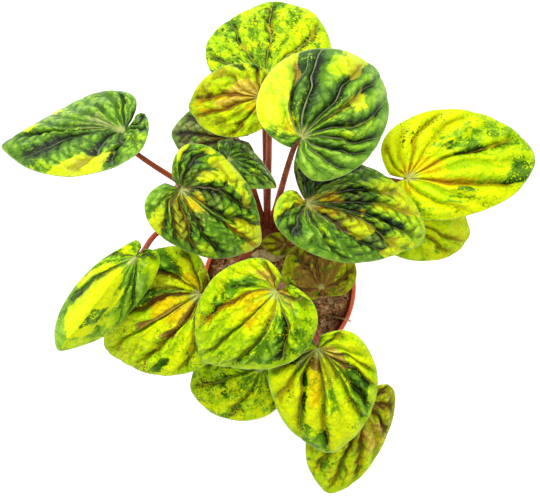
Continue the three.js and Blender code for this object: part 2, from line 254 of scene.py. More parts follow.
# %% Groups and materials
def new_group(name, inputs, outputs):
    """A shader node group. inputs and outputs map a socket's name to its kind, or to (kind, value)."""
    tree = bpy.data.node_groups.new(name, "ShaderNodeTree")
    for way, sockets in (("INPUT", inputs), ("OUTPUT", outputs)):
        for title, kind in sockets.items():
            kind, value = kind if isinstance(kind, tuple) else (kind, None)
            made = tree.interface.new_socket(title, in_out=way, socket_type="NodeSocket" + kind)
            if value is not None:
                made.default_value = value
    print(f"group {name}: {', '.join(inputs)} -> {', '.join(outputs)}")
    return tree, tree.nodes.new("NodeGroupInput").outputs, tree.nodes.new("NodeGroupOutput").inputs


def use_group(tree, group, values):
    return add_node(tree, "Group", values, node_tree=group).outputs


def paint(red, green, blue):
    """A colour picker's red, green and blue as the linear light that shaders work in."""
    shares = [value / 255 for value in (red, green, blue)]
    return (*[s / 12.92 if s <= 0.04045 else ((s + 0.055) / 1.055) ** 2.4 for s in shares], 1.0)


def new_material(name, roughness, specular):
    material = bpy.data.materials.new(name)
    material.use_nodes = True
    shader = material.node_tree.nodes["Principled BSDF"]
    shader.inputs["Roughness"].default_value = roughness
    shader.inputs["Specular IOR Level"].default_value = specular
    return material, material.node_tree, shader


def finish_skin(tree, shader, colour, relief, strength, depth):
    """Gives the shader its colour and a bumpy skin. depth is the bumps' height in mm."""
    bumps = add_node(tree, "Bump", {"Height": relief, "Strength": strength, "Distance": depth * MM})
    tree.links.new(colour, shader.inputs["Base Color"])
    tree.links.new(bumps.outputs["Normal"], shader.inputs["Normal"])


# %% [markdown]
# ## The shape of a blade
# Each blade is a heart whose stalk joins it well inside the margin. Its main veins leave that point like
# the ribs of an umbrella, and between two veins the blade swells up into a ridge. A grid can be bent into
# this shape: its columns follow the veins from the stalk to the margin and its rows run round the stalk, so
# that every vein lies exactly on a column and stays a sharp valley.
#
# A place on a blade is given by two numbers. The first counts eighths of the way round, from one side of
# the notch (0) past the tip (4) to the other side (8). The second runs from 0 at the stalk to 1 at the
# margin.
#
# The first table repeats the frame's sizes, in millimetres and degrees. **at** is where the stalk joins.
# **heading** turns the tip round, **pitch** lowers it, and **roll** tilts the blade sideways. **back** is the
# share of the length behind the stalk, **droop** lowers both ends, **cup** both sides, and **fold** both
# halves like a roof. **ridge** is the ridges' height. **notch** turns the notch aside, **skew** widens one
# half, and **egg** and **point** narrow the blade towards its tip.

# %% Sizes of the blades
LEAF_SIZES = {
    "leaf_back_large": dict(at=(9, 68, 172), length=67, width=60, heading=44, pitch=20, back=0.21,
                            droop=0.16, cup=0.12, ridge=4.2, skew=0.07, notch=0.12, point=0),
    "leaf_back_top": dict(at=(-7, 100, 126), length=57, width=60, heading=85, pitch=26, back=0.18,
                          droop=0.1, cup=0.05, ridge=1.5, point=0),
    "leaf_back_tan": dict(at=(-9, 88, 150), length=42, width=33, heading=-176, pitch=18, back=0.16,
                          droop=0.14, cup=0.12, ridge=3.0),
    "leaf_far_left": dict(at=(-72, 74, 140), length=71, width=56, heading=-175, pitch=8, roll=42,
                          back=0.19, droop=0.08, cup=0.1, ridge=3.6, notch=0.55, skew=-0.05),
    "leaf_left_large": dict(at=(-44, 46, 158), length=60, width=52, heading=-35, pitch=18, back=0.24,
                            droop=0.14, cup=0.14, ridge=4.8),
    "leaf_left_curled": dict(at=(-24, 61, 140), length=38, width=31, heading=-23, pitch=28, roll=-42,
                             back=0.22, droop=0.12, cup=0.14, ridge=2.6),
    "leaf_left_dull": dict(at=(-23, 73, 116), length=43, width=34, heading=174, pitch=14, back=0.28,
                           droop=0.12, cup=0.12, ridge=2.4),
    "leaf_far_right": dict(at=(60, 53, 126), length=73, width=55, heading=9, pitch=5, roll=-6,
                           back=0.16, droop=0.08, cup=0.1, ridge=3.2, skew=0.12, point=0),
    "leaf_right_low": dict(at=(58, 35, 106), length=52, width=39, heading=-11, pitch=18, back=0.22,
                           droop=0.12, cup=0.12, ridge=2.4, point=0),
    "leaf_right_dark": dict(at=(12, 40, 155), length=72, width=49, heading=-18, pitch=12, roll=-12,
                            back=0.2, droop=0.12, cup=0.12, ridge=4.8, notch=-0.38, skew=0.06),
    "leaf_front_middle": dict(at=(-2, 1, 160), length=61, width=54, heading=-135, pitch=20, back=0.17,
                              droop=0.14, cup=0.13, ridge=4.0, skew=0.06),
    "leaf_front_left": dict(at=(-37, -1, 136), length=67, width=59, heading=-149, pitch=16, back=0.16,
                            droop=0.12, cup=0.12, ridge=3.8),
    "leaf_front_folded": dict(at=(-65, 16, 152), length=69, width=33, heading=-131, pitch=14, back=0.14,
                              droop=0.14, cup=0.08, ridge=2.0, fold=0.8, egg=-0.05),
    "leaf_front_small": dict(at=(-9, -38, 112), length=47, width=43, heading=-163, pitch=14, back=0.22,
                             droop=0.1, cup=0.12, ridge=2.2),
    "leaf_front_right": dict(at=(17, -26, 142), length=63, width=53, heading=-82, pitch=16, back=0.16,
                             droop=0.12, cup=0.12, ridge=4.4),
    "leaf_front_low": dict(at=(39, -55, 112), length=62, width=43, heading=-107, pitch=12, roll=-20,
                           back=0.22, droop=0.1, cup=0.12, ridge=3.2, skew=-0.06),
    "leaf_low_brown": dict(at=(21, 0, 92), length=32, width=36, heading=101, pitch=10, back=0.18,
                           droop=0.12, cup=0.1, ridge=1.6),
    "leaf_young": dict(at=(3, 22, 81), length=16, width=12, heading=177, pitch=10, back=0.22,
                       droop=0.12, cup=0.1, ridge=0.5),
}
USUAL_SIZES = dict(roll=0, notch=0, skew=0, fold=0, egg=0.16, point=0.2)
LEAVES = {name: {**USUAL_SIZES, **row} for name, row in LEAF_SIZES.items()}
print(len(LEAVES), "blades")

# %% [markdown]
# The second table is what each blade has of its own, read off one by one. **veins** are the places of the
# main veins, in eighths of the way round. A vein that runs straight out is one number. One that wanders is
# four, its places at the shares of the way out that VEIN_STATIONS gives. **faint** makes some veins, counted
# from the first, shallower than the rest. **forks** names the ridges that a late vein splits, with the share
# of
# the way out where it starts: a plus sign starts it at the ridge's first vein, a minus sign at its second.
# **pucker** is how deep small cross veins and creases cut into the ridges, and **spacing** how many
# millimetres the cross veins lie apart. **margin** pulls the outline in or out at a few places, as a share
# of the plain heart.

# %% Veins and margins of the blades
VEIN_STATIONS = (0.15, 0.4, 0.7, 1)
USUAL_GROWTH = dict(forks={}, faint={}, margin=[(0, 1), (8, 1)])
LEAF_GROWTH = {
    "leaf_back_large": dict(
        pucker=0.3, spacing=7, forks={8: -0.5}, faint={1: 0.7, 10: 0.35, 11: 0.4, 12: 0.6},
        veins=[0, (0.45, 0.55, 0.72, 1), (1.2, 1.1, 1.1, 1.35), (1.45, 1.55, 1.82, 1.92),
            (2.5, 2.15, 2.25, 2.3), (2.9, 2.85, 2.8, 3.25), (3.84, 3.73, 3.7, 3.75),
            (4.3, 4.15, 4.2, 4.25), (5.5, 4.95, 5.3, 5.15), (6.35, 6, 5.62, 5.6),
            (6.65, 6.5, 6.35, 6.3), (7.1, 7.15, 7.2, 7.3), (7.45, 7.55, 7.6, 7.65), 8],
        margin=[(0, 1), (1, 0.95), (2, 0.935), (3, 1.01), (4, 0.97), (5, 1), (6, 0.96), (7, 0.88),
            (8, 0.86)]),
    "leaf_back_top": dict(
        pucker=0.5, spacing=7, faint={1: 0.4, 3: 0.4, 5: 0.4, 7: 0.4, 9: 0.4, 11: 0.4},
        veins=[0, 0.7, 1.4, 2.1, 2.7, 3.3, 4, 4.6, 5.2, 5.8, 6.4, 7, 7.5, 8],
        margin=[(0, 1), (1, 1), (2, 1.03), (2.6, 1.07), (3, 1.12), (3.5, 1), (4, 0.97), (5, 0.93),
            (6, 0.97), (7, 0.98), (8, 1)]),
    "leaf_back_tan": dict(
        pucker=0.45, spacing=7, faint={3: 0.6, 4: 0.7, 7: 0.6, 9: 0.6},
        veins=[0, 0.8, (1.3, 1.2, 1.1, 1.1), (2, 1.8, 1.7, 1.7), (2.9, 2.6, 2.4, 2.3),
            (3.45, 3.5, 3.65, 3.7), (4.7, 4.65, 4.6, 4.6), (5.3, 5.4, 5.3, 5.2), (6.1, 6.1, 6, 5.9),
            6.6, 7.3, 8],
        margin=[(0, 1), (4, 1), (5, 1.04), (6, 1.02), (8, 1)]),
    "leaf_far_left": dict(
        pucker=0.5, spacing=6, faint={1: 0.5, 3: 0.6, 4: 0.45, 5: 0.45, 6: 0.4, 7: 0.5, 12: 0.6},
        veins=[0, 0.4, 0.8, 1.2, (2.3, 2.1, 1.9, 1.65), (2.9, 2.75, 2.4, 2.1), (3.45, 3.2, 2.9, 2.55),
            (3.85, 3.75, 3.4, 3), (4.15, 4.2, 3.95, 3.6), (4.5, 4.6, 4.65, 4.7), (5.5, 5.8, 5.75, 5.7),
            (6.2, 6.3, 6.25, 6.35), (6.9, 6.85, 6.85, 6.9), 7.3, 7.65, 8],
        margin=[(0, 0.81), (1, 0.95), (2, 0.86), (3, 0.87), (4, 1), (5, 0.98), (6, 1), (7, 1.04),
            (7.6, 0.95), (8, 0.66)]),
    "leaf_left_large": dict(
        pucker=0.75, spacing=5, forks={10: 0.45}, faint={1: 0.5, 2: 0.6, 7: 0.35, 11: 0.7, 14: 0.6},
        veins=[0, (0.5, 0.45, 0.45, 0.45), (0.95, 1, 0.93, 0.9), (1.15, 1.3, 1.48, 1.5),
            (1.35, 1.5, 1.87, 1.95), (2.05, 2.4, 2.45, 2.45), (2.75, 2.8, 3.05, 3),
            (3.3, 3.4, 3.5, 3.4), (3.75, 3.95, 3.85, 3.8), (4.1, 4.15, 4.35, 4.6),
            (5.65, 5.25, 4.8, 4.95), (5.95, 6.4, 6.35, 6.3), (7, 7.15, 6.85, 6.6),
            (7.35, 7.45, 7.25, 7.05), (7.6, 7.7, 7.6, 7.5), 8],
        margin=[(0, 0.76), (1, 0.9), (2, 0.83), (3, 0.96), (4, 1), (5, 0.89), (6, 0.82), (7, 0.97),
            (7.5, 0.92), (8, 0.6)]),
    "leaf_left_curled": dict(
        pucker=0.8, spacing=5.5, forks={4: 0.5},
        veins=[0, 0.7, 1.4, 2.2, 3.1, 4, 4.9, 5.7, 6.5, 7.3, 8],
        margin=[(0, 0.9), (1.5, 0.8), (3, 0.84), (4, 1), (4.8, 0.92), (5.6, 0.78), (7, 0.76), (8, 0.85)]),
    "leaf_left_dull": dict(
        pucker=0.6, spacing=5.5, forks={5: 0.5},
        veins=[0, 0.7, 1.4, 2.2, 3.1, 4, 4.9, 5.7, 6.5, 7.3, 8],
        margin=[(0, 1), (5.5, 1), (6.5, 1.15), (7.3, 1.2), (8, 1)]),
    "leaf_far_right": dict(
        pucker=0.25, spacing=9, faint={1: 0.5, 2: 0.7, 3: 0.8, 4: 0.6, 6: 0.5, 8: 0.4, 9: 0.8, 11: 0.7},
        veins=[0, (0.45, 0.35, 0.3, 0.3), (0.85, 1.05, 1.25, 1.2), (1.3, 1.85, 2.2, 2.1),
            (2.85, 2.7, 2.5, 2.4), (3.25, 3.05, 3.15, 3.3), (4.15, 4.2, 4.05, 4), (4.7, 4.7, 4.6, 4.6),
            (5.15, 5.25, 5.2, 5.1), (5.6, 5.92, 5.7, 5.55), (6.15, 6.4, 6.2, 6.05),
            (6.9, 6.88, 6.8, 6.75), (7.3, 7.45, 7.4, 7.4), 8],
        margin=[(0, 1), (1, 0.95), (2, 0.92), (3, 1), (4, 1), (4.5, 1.03), (5, 1), (6, 0.98), (7, 0.97),
            (8, 1)]),
    "leaf_right_low": dict(
        pucker=0.3, spacing=5.5, faint={1: 0.5, 3: 0.5, 6: 0.5, 8: 0.5},
        veins=[0, 0.8, 1.5, 2.3, 3, 3.6, 4.4, 5.2, 6, 6.8, 7.4, 8],
        margin=[(0, 1), (1, 1), (2, 0.97), (3, 1.03), (4, 1), (8, 1)]),
    "leaf_right_dark": dict(
        pucker=0.85, spacing=5.6, faint={1: 0.6, 4: 0.6, 6: 0.6, 12: 0.6},
        veins=[0, (0.5, 0.53, 0.55, 0.62), (0.78, 0.9, 0.9, 0.98), (1.45, 1.4, 1.32, 1.42),
            (1.75, 1.78, 1.95, 1.85), (1.95, 2, 2.25, 2.4), (2.5, 2.5, 2.6, 2.65), (2.75, 3, 3.15, 3.2),
            (4.35, 4.3, 3.55, 3.45), (4.6, 4.5, 4.2, 4.15), (5, 4.95, 4.95, 4.9),
            (5.75, 5.55, 5.45, 5.5), (6.2, 6.1, 6, 5.95), (6.65, 6.55, 6.4, 6.3), 7.1, 7.55, 8],
        margin=[(0, 0.6), (0.5, 1.08), (1, 1.02), (2, 0.93), (3, 0.88), (4, 0.96), (4.5, 1.05),
            (5, 1.08), (6, 1.06), (7, 0.9), (7.6, 1.16), (8, 1.16)]),
    "leaf_front_middle": dict(
        pucker=0.65, spacing=8.5, faint={2: 0.6, 3: 0.6, 4: 0.6, 6: 0.45, 8: 0.4, 10: 0.5, 12: 0.6},
        veins=[0, (0.6, 0.65, 0.65, 0.7), (1.2, 1.15, 1.05, 1.1), (1.4, 1.45, 1.5, 1.55),
            (1.85, 2.05, 2, 2.1), (2.1, 2.5, 3, 3.05), (3, 3.2, 3.45, 3.5), (4.03, 4.1, 3.9, 3.75),
            (4.3, 4.4, 4.3, 4.2), (5.65, 5.15, 4.8, 4.62), (5.8, 5.3, 5.05, 5.2),
            (5.95, 6.1, 5.95, 5.75), (6.45, 6.65, 6.6, 6.6), (7, 7.3, 7.5, 7.5), 8],
        margin=[(0, 1), (0.5, 0.93), (1, 0.87), (2, 0.95), (3, 0.985), (4, 1), (5, 0.92), (6, 0.96),
            (7, 1), (8, 1)]),
    "leaf_front_left": dict(
        pucker=0.55, spacing=8.5, faint={2: 0.6, 4: 0.6, 6: 0.3, 8: 0.3, 10: 0.5},
        veins=[0, (0.65, 0.75, 1, 0.9), (1.42, 1.5, 1.35, 1.2), (1.6, 1.78, 2.05, 2.1),
            (2.35, 2.6, 2.75, 2.8), (2.75, 3.05, 3.2, 3.25), (3.75, 3.78, 3.68, 3.65),
            (4.03, 4, 4.05, 4.05), (4.3, 4.3, 4.42, 4.5), (5.35, 5.25, 4.9, 4.75),
            (5.55, 5.45, 5.33, 5.36), (5.75, 5.87, 5.82, 5.7), 6.5, 7.2, 8]),
    "leaf_front_folded": dict(
        pucker=0.3, spacing=5.5, faint={1: 0.5, 3: 0.6, 5: 0.25, 6: 0.4, 7: 0.6, 9: 0.5},
        veins=[0, 0.8, 1.55, 2.1, (2.6, 2.75, 2.8, 2.7), 4, (4.7, 4.75, 4.8, 4.7), 5.4,
            (5.9, 5.95, 5.9, 5.8), 6.5, 7.3, 8],
        margin=[(0, 0.8), (1, 0.55), (2, 0.8), (3, 1.06), (3.5, 1.07), (4, 1), (5, 0.93), (6, 0.8),
            (7, 0.93), (8, 0.85)]),
    "leaf_front_small": dict(
        pucker=0.5, spacing=6, faint={1: 0.5, 3: 0.5, 6: 0.5, 8: 0.5},
        veins=[0, 0.8, 1.5, 2.2, 3, 4, 4.8, 5.5, 6.2, 6.8, 7.4, 8],
        margin=[(0, 1), (4, 1), (5, 1.09), (6, 1.08), (7, 1.08), (8, 1)]),
    "leaf_front_right": dict(
        pucker=0.35, spacing=9, faint={1: 0.6, 2: 0.6, 7: 0.35, 12: 0.6},
        veins=[0, (0.6, 0.5, 0.4, 0.35), (1.1, 1.2, 1.15, 1.1), (1.35, 1.6, 1.5, 1.35),
            (2.05, 2.2, 2.1, 2.15), (2.35, 2.65, 3, 3.1), (4.1, 3.95, 3.93, 3.97), (4.5, 4.6, 4.6, 4.6),
            (5.6, 5.3, 5.03, 5.2), (5.72, 5.5, 5.35, 5.5), (5.85, 5.9, 5.88, 5.92),
            (6.25, 6.3, 6.3, 6.2), (6.6, 6.6, 6.6, 6.6), (7.2, 7.4, 7.5, 7.5), 8],
        margin=[(0, 1), (1, 0.95), (2, 0.89), (3, 0.98), (4, 1), (5, 1), (6, 0.98), (7, 0.93), (8, 0.96)]),
    "leaf_front_low": dict(
        pucker=0.55, spacing=6.5, forks={5: 0.5}, faint={1: 0.5, 3: 0.5, 7: 0.5},
        veins=[0, 0.8, 1.5, 2.3, 3.1, 4, 4.9, 5.6, 6.2, 6.9, 7.5, 8],
        margin=[(0, 1), (4, 1), (4.4, 1.04), (5, 1.02), (5.5, 0.96), (6, 0.93), (6.5, 0.95), (7, 1.01),
            (8, 1)]),
    "leaf_low_brown": dict(
        pucker=0.7, spacing=4.5, forks={5: 0.5}, faint={1: 0.4, 3: 0.45, 4: 0.7, 7: 0.45, 9: 0.4},
        veins=[0, 0.8, 1.7, 2.4, 3.1, 4, 4.9, 5.6, 6.4, 7.2, 8],
        margin=[(0, 1), (1, 1.08), (2, 1.05), (3, 1), (4, 1), (5, 1.06), (6, 1), (8, 1)]),
    "leaf_young": dict(
        pucker=0.3, spacing=5.5,
        veins=[0, 1.4, 2.8, 4, 5.2, 6.6, 8]),
}
GROWTH = {name: {**USUAL_GROWTH, **row} for name, row in LEAF_GROWTH.items()}
print(sum(len(row["veins"]) - 1 for row in GROWTH.values()), "ridges in all")

# %% [markdown]
# Three helpers do most of the shaping. A bump is a soft hill round one value, ease is a step with soft
# ends, and lumps are round pads with creases between them, as on a quilt: Blender's own noise crosses zero
# along winding lines, and these become the creases.

# %% Bumps, steps and lumps
LUMP_SIZES = ((5.6, 0.6), (2.6, 0.4))
LUMP_STEEPNESS = 3


def bump(value, centre, spread):
    return np.exp(-(((value - centre) / spread) ** 2))


def ease(value, low, high):
    share = np.clip((value - low) / (high - low), 0, 1)
    return share * share * (3 - 2 * share)


def lumps(x, y, seed):
    """Round lumps with creases between them: 0 in a crease, 1 on top."""
    total = np.zeros(x.size)
    for size, weight in LUMP_SIZES:
        places = zip(x.ravel() / size, y.ravel() / size)
        heights = [LUMP_STEEPNESS * abs(noise.noise(Vector((a, b, seed)))) for a, b in places]
        total += weight * np.clip(heights, 0, 1)
    return ease(total.reshape(x.shape), 0, 1)


# %% [markdown]
# Columns are shared out so that each ridge gets as many as its width asks for, and a vein is always a
# column of its own. Straight lines join a vein's few places, and a mean of five looks rounds their corners.
#
# All that is known of the grid's points is kept in one sheet of tables: which ridge a point lies on, how far
# across that ridge, how far out, and later its place, its height and what its paint needs to know.

# %% Columns along the veins
ROWS = 70
ROW_CROWDING = 0.9
COLUMNS_PER_EIGHTH = 22
LEAST_COLUMNS = 8
VEIN_ROUNDING = (-0.12, -0.06, 0, 0.06, 0.12)


def vein_paths(veins, along):
    """Where each vein is, in eighths, at each row of the sheet."""
    paths = []
    for vein in veins:
        stops = vein if isinstance(vein, tuple) else (vein,) * len(VEIN_STATIONS)
        looks = [np.interp(along + shift, VEIN_STATIONS, stops) for shift in VEIN_ROUNDING]
        paths.append(sum(looks) / len(looks))
    return np.stack(paths, 1)


def column_ridges(paths):
    """Each column's ridge count: a whole number on a vein, and a share of one more between two veins."""
    ridges = []
    for index, width in enumerate(np.diff(paths[len(paths) // 2:].mean(0))):
        count = max(LEAST_COLUMNS, round(width * COLUMNS_PER_EIGHTH))
        ridges += [index + step / count for step in range(count)]
    return np.array([*ridges, paths.shape[1] - 1])


def lay_grid(name):
    """The first tables of a blade's sheet, with its rows of the two tables above."""
    veins = GROWTH[name]["veins"]
    rows = np.linspace(0, 1, ROWS + 1) ** ROW_CROWDING
    paths = vein_paths(veins, rows)
    ridge, along = np.meshgrid(column_ridges(paths), rows)
    index = np.minimum(ridge.astype(int), len(veins) - 2)
    within = ridge - index
    first_vein = np.take_along_axis(paths, index, 1)
    widths = np.take_along_axis(paths, index + 1, 1) - first_vein
    eighths = first_vein + within * widths
    return SimpleNamespace(
        leaf=LEAVES[name], growth=GROWTH[name], paths=paths, ridge=ridge, along=along, index=index,
        within=within, widths=widths, eighths=eighths, from_notch=np.minimum(eighths, 8 - eighths))


# %% [markdown]
# The plain heart is the frame's outline: an ellipse that narrows towards its tip, with a round lobe on
# either side of the notch. The stalk's joint is its zero point, x runs to the tip and y to the left.

# %% The plain heart
NOTCH_HALF_ANGLE = 0.1
LOBE_SIZE, LOBE_AT, LOBE_SPREAD = 0.05, 2.45, 0.42
TIP_SIZE, TIP_SPREAD = 0.03, 0.28
POINT_SPREAD = 0.6


def heart_outline(leaf, eighths):
    """The plain heart's margin at places round the blade."""
    low = -math.pi + NOTCH_HALF_ANGLE + leaf["notch"]
    high = math.pi - NOTCH_HALF_ANGLE + leaf["notch"]
    across = eighths / 8
    angle = np.where(across < 0.5, low * (1 - 2 * across), high * (2 * across - 1))
    around = np.arctan2(np.sin(angle), np.cos(angle))
    lobe = LOBE_SIZE * bump(abs(around), LOBE_AT, LOBE_SPREAD)
    tip = TIP_SIZE * bump(around, 0, TIP_SPREAD)
    x = leaf["length"] * (0.5 - leaf["back"] + 0.5 * np.cos(around) - lobe + tip)
    side = 1 + np.where(around > 0, leaf["skew"], -leaf["skew"])
    narrowing = (1 - leaf["egg"] * np.cos(around)) * (1 - leaf["point"] * bump(around, 0, POINT_SPREAD))
    return x, leaf["width"] / 2 * np.sin(around) * narrowing * side


# %% [markdown]
# No vein is ruled. Two slow waves carry all of them to and fro, and on a puckered blade they also zigzag
# between the cross veins. Both calm down beside the notch, so that its two sides never cross.

# %% Wandering veins
VEIN_WANDER = 0.012
WANDER_WAVES = ((8, 1.2, 0.31), (3, 2.9, 0.83))
NOTCH_CALM = 0.4
VEIN_ZIGZAG = 0.45
NO_ZERO = 1e-6


def wander_veins(sheet):
    """Where each column really runs, in eighths."""
    along, eighths, index, growth = sheet.along, sheet.eighths, sheet.index, sheet.growth
    wander = 0
    for (size, outwards, round_leaf), start in zip(WANDER_WAVES, sheet.phase):
        wave = np.sin(2 * math.pi * (outwards * along + round_leaf * eighths) + start)
        wander = wander + VEIN_WANDER * size * wave
    calm = np.clip(sheet.from_notch / NOTCH_CALM, 0, 1)
    moved = eighths + wander * calm * np.sin(math.pi * np.minimum(along * 1.1, 1))
    reach = np.hypot(*heart_outline(sheet.leaf, moved))
    beat = 2 * math.pi * reach * along / growth["spacing"] + sheet.phase[index] + math.pi * (index % 2)
    circle = 2 * math.pi * (0.3 + along) * reach + NO_ZERO
    zigzag = VEIN_ZIGZAG * growth["pucker"] * np.sin(beat) * 8 / circle
    return moved + zigzag * calm * ease(along, 0.05, 0.2) * (1 - 0.6 * ease(along, 0.8, 1))


# %% [markdown]
# The margin follows its own table of pulls, smoothed except close to the notch. The lobes' corners are
# rounded off, and at each vein the margin steps in by a hair. From the stalk, a column sets off a little
# away from where it is going and bends round to it, as the veins of a heart-shaped leaf do.

# %% The blade laid flat
MARGIN_ROUNDING = (-0.3, -0.15, 0.15, 0.3)
LOBE_CORNER = 0.55
LOBE_ROUNDING = 0.3
LOBE_ROUNDING_POWER = 2.2
MARGIN_SCALLOP = 0.008
VEIN_BEND = 0.35


def margin_pull(sheet):
    """How far out the margin stands, as a share of the plain heart."""
    stops, shares = zip(*sheet.growth["margin"])
    pull = np.interp(sheet.eighths, stops, shares)
    looks = sum(np.interp(sheet.eighths + shift, stops, shares) for shift in MARGIN_ROUNDING)
    by_notch = (sheet.eighths < 0.3) | (sheet.eighths > 7.7)
    pull = np.where(by_notch, pull, (pull + looks) / (len(MARGIN_ROUNDING) + 1))
    corner = np.clip(sheet.from_notch / LOBE_CORNER, 0, 1)
    pull = pull * (1 - LOBE_ROUNDING * (1 - corner) ** LOBE_ROUNDING_POWER)
    scallop = MARGIN_SCALLOP * (1 - np.abs(np.sin(math.pi * sheet.within)) ** 0.6)
    return pull * (1 - scallop * ease(sheet.along, 0.7, 1))


def lay_flat(sheet):
    along = sheet.along
    x, y = heart_outline(sheet.leaf, wander_veins(sheet))
    pull = margin_pull(sheet)
    reach = np.hypot(x, y)
    direction = np.arctan2(y, x)
    start = direction + VEIN_BEND * np.sin(direction)
    early = (1 - along) * along * reach * pull
    sheet.x = early * np.cos(start) + along**2 * x * pull
    sheet.y = early * np.sin(start) + along**2 * y * pull
    sheet.reach = reach * pull
    sheet.mean_reach = np.mean(reach)


# %% [markdown]
# Across a ridge the blade is partly a round arch and partly a puff, which comes up steeply in the first
# millimetres beside a vein. Each ridge leans a little to one side. Beside its height, each point gets a
# **shade** for its paint, 0 in a valley and 1 on a crest: the paint turns it into painted shade in the
# valleys and a painted highlight on the crests. Veins between wide ridges are drawn stronger.

# %% Ridges between the veins
ARCH_POWER = 0.85
SHADE_POWER = 1.5
PUFF_SHARE = 0.35
PUFF_WIDTH = 2.2
EDGE_VEIN_WIDTH = 0.4
LEAST_VEIN = 0.15


def raise_ridges(sheet):
    mean_widths = np.diff(sheet.paths[len(sheet.paths) // 3:].mean(0))
    beside = np.concatenate([[EDGE_VEIN_WIDTH], mean_widths, [EDGE_VEIN_WIDTH]])
    weights = np.convolve(beside, [0.5, 0.5], "valid")
    strengths = np.clip(weights * 1.3 - 0.2, LEAST_VEIN, 1)
    sheet.vein_strength = np.interp(sheet.ridge, np.arange(len(weights)), strengths)
    eighth_width = 2 * math.pi * 0.5 * (sheet.reach + sheet.mean_reach) * sheet.along / 8
    sheet.ridge_width = sheet.widths * eighth_width + NO_ZERO
    sheet.to_vein = np.minimum(sheet.within, 1 - sheet.within) * sheet.ridge_width
    leaning = math.pi * sheet.within ** sheet.lean[sheet.index]
    puff = 1 - np.exp(-sheet.to_vein / PUFF_WIDTH)
    full_puff = 1 - np.exp(-0.5 * sheet.ridge_width / PUFF_WIDTH)
    sheet.rise = (1 - PUFF_SHARE) * np.sin(leaning) ** ARCH_POWER + PUFF_SHARE * puff / full_puff
    # The shade becomes painted shade in the valleys and a painted highlight on the crests.
    sheet.shade = np.sin(leaning) ** SHADE_POWER


# %% [markdown]
# A late vein leaves one of its ridge's own veins and runs to the ridge's middle. Its distance from each
# point is kept, in millimetres, because the paint draws it too.

# %% Forks
NO_FORK = 5.0
FORK_MIDDLE = 0.52
FORK_RUN = 0.3
FORK_WIDTH = 0.8 * PUFF_WIDTH
FORK_CUT = {"rise": 0.6, "shade": 0.75}


def split_ridges(sheet):
    sheet.fork_offset = np.full(sheet.along.shape, NO_FORK)
    for which, begin in sheet.growth["forks"].items():
        split = abs(begin)
        here = (sheet.index == which) & (sheet.along > split - 0.02)
        out = FORK_MIDDLE * ease(sheet.along, split - 0.02, split + FORK_RUN)
        centre = out if begin > 0 else 1 - out
        sheet.fork_offset = np.where(here, (sheet.within - centre) * sheet.ridge_width, sheet.fork_offset)
        valley = np.exp(-np.abs(sheet.fork_offset) / FORK_WIDTH) * ease(sheet.along, split, split + 0.15)
        sheet.rise = sheet.rise * (1 - np.where(here, FORK_CUT["rise"] * valley, 0))
        # The fork's valley gets painted shade.
        sheet.shade = sheet.shade * (1 - np.where(here, FORK_CUT["shade"] * valley, 0))


# %% [markdown]
# Cross veins leave a main vein on a slant, those of its two neighbours by turns, so the crest between them
# zigzags. They and the creases between lumps pucker the ridges, and they get painted shade. All shades fade
# to one middle shade at the margin, and at the stalk, where the blade is one smooth dimple, painted shade
# darkens them.

# %% Cross veins and creases
CROSS_VEIN_SLANT = 0.7
CROSS_VEIN_POWER = 0.8
CROSS_VEIN_CUT = {"rise": 0.55, "shade": 0.75}
CREASE_CUT = {"rise": 0.4, "shade": 0.45}
MIDDLE_SPREAD = 7
MARGIN_SHADE = 0.7
MARGIN_FADE = 0.7


def pucker_ridges(sheet):
    along, phase, growth = sheet.along, sheet.phase, sheet.growth
    rungs = sheet.reach * along / growth["spacing"]
    pucker = np.zeros(along.shape)
    for side, offset in ((sheet.within, 0.0), (1 - sheet.within, 0.5)):
        turn = rungs - CROSS_VEIN_SLANT * 2 * side + offset + phase[sheet.index]
        turn = turn + 0.3 * np.sin(3 * along + phase[2])
        groove = 1 - np.abs(np.sin(math.pi * turn)) ** CROSS_VEIN_POWER
        pucker = np.maximum(pucker, groove * (1 - ease(side, 0.4, 0.85)))
    pucker = pucker * ease(sheet.to_vein, 0.2, 1.2) * ease(sheet.ridge_width, 2, 5)
    sheet.pucker = pucker * growth["pucker"]
    crease = (1 - lumps(sheet.x, sheet.y, phase[1])) * growth["pucker"]
    # The cross veins and creases cut the height and also lay painted shade.
    for table in ("rise", "shade"):
        values = getattr(sheet, table) * (1 - CROSS_VEIN_CUT[table] * sheet.pucker)
        setattr(sheet, table, values * (1 - CREASE_CUT[table] * crease))
    # Painted shade over the dimple at the stalk.
    middle = 0.7 * growth["pucker"] * bump(along * sheet.reach, 0, MIDDLE_SPREAD)
    sheet.shade = sheet.shade * (1 - middle)
    sheet.shade = sheet.shade + (MARGIN_SHADE - sheet.shade) * MARGIN_FADE * ease(along, 0.8, 1)


def fade_veins(sheet):
    """Makes the faint veins shallow: the ridges on both sides run together there."""
    depths = [sheet.growth["faint"].get(number, 1.0) for number in range(len(sheet.growth["veins"]))]
    depth = np.interp(sheet.ridge, np.arange(len(depths)), depths)
    sheet.rise = 1 - (1 - sheet.rise) * depth
    sheet.shade = np.clip(1 - (1 - sheet.shade) * depth, 0, 1.2)
    sheet.vein_strength = sheet.vein_strength * depth**2


# %% [markdown]
# At last the blade rises from the flat: a pit over the stalk, droop towards the ends, a cup towards the
# sides, the fold, the ridges, which are lower where they are narrow and flatten out at the margin, and a
# long slow wave of the margin itself.

# %% The blade lifted
CENTRE_PIT = 0.05
PIT_SPREAD = 0.14
SWELLS = ((0.16, 2.1), (0.1, 5.3))
RIDGE_WIDTH_TO_RISE = 4
MARGIN_FLATNESS = 0.85
MARGIN_WAVE = 0.02
WAVES_PER_EIGHTH = 1.9


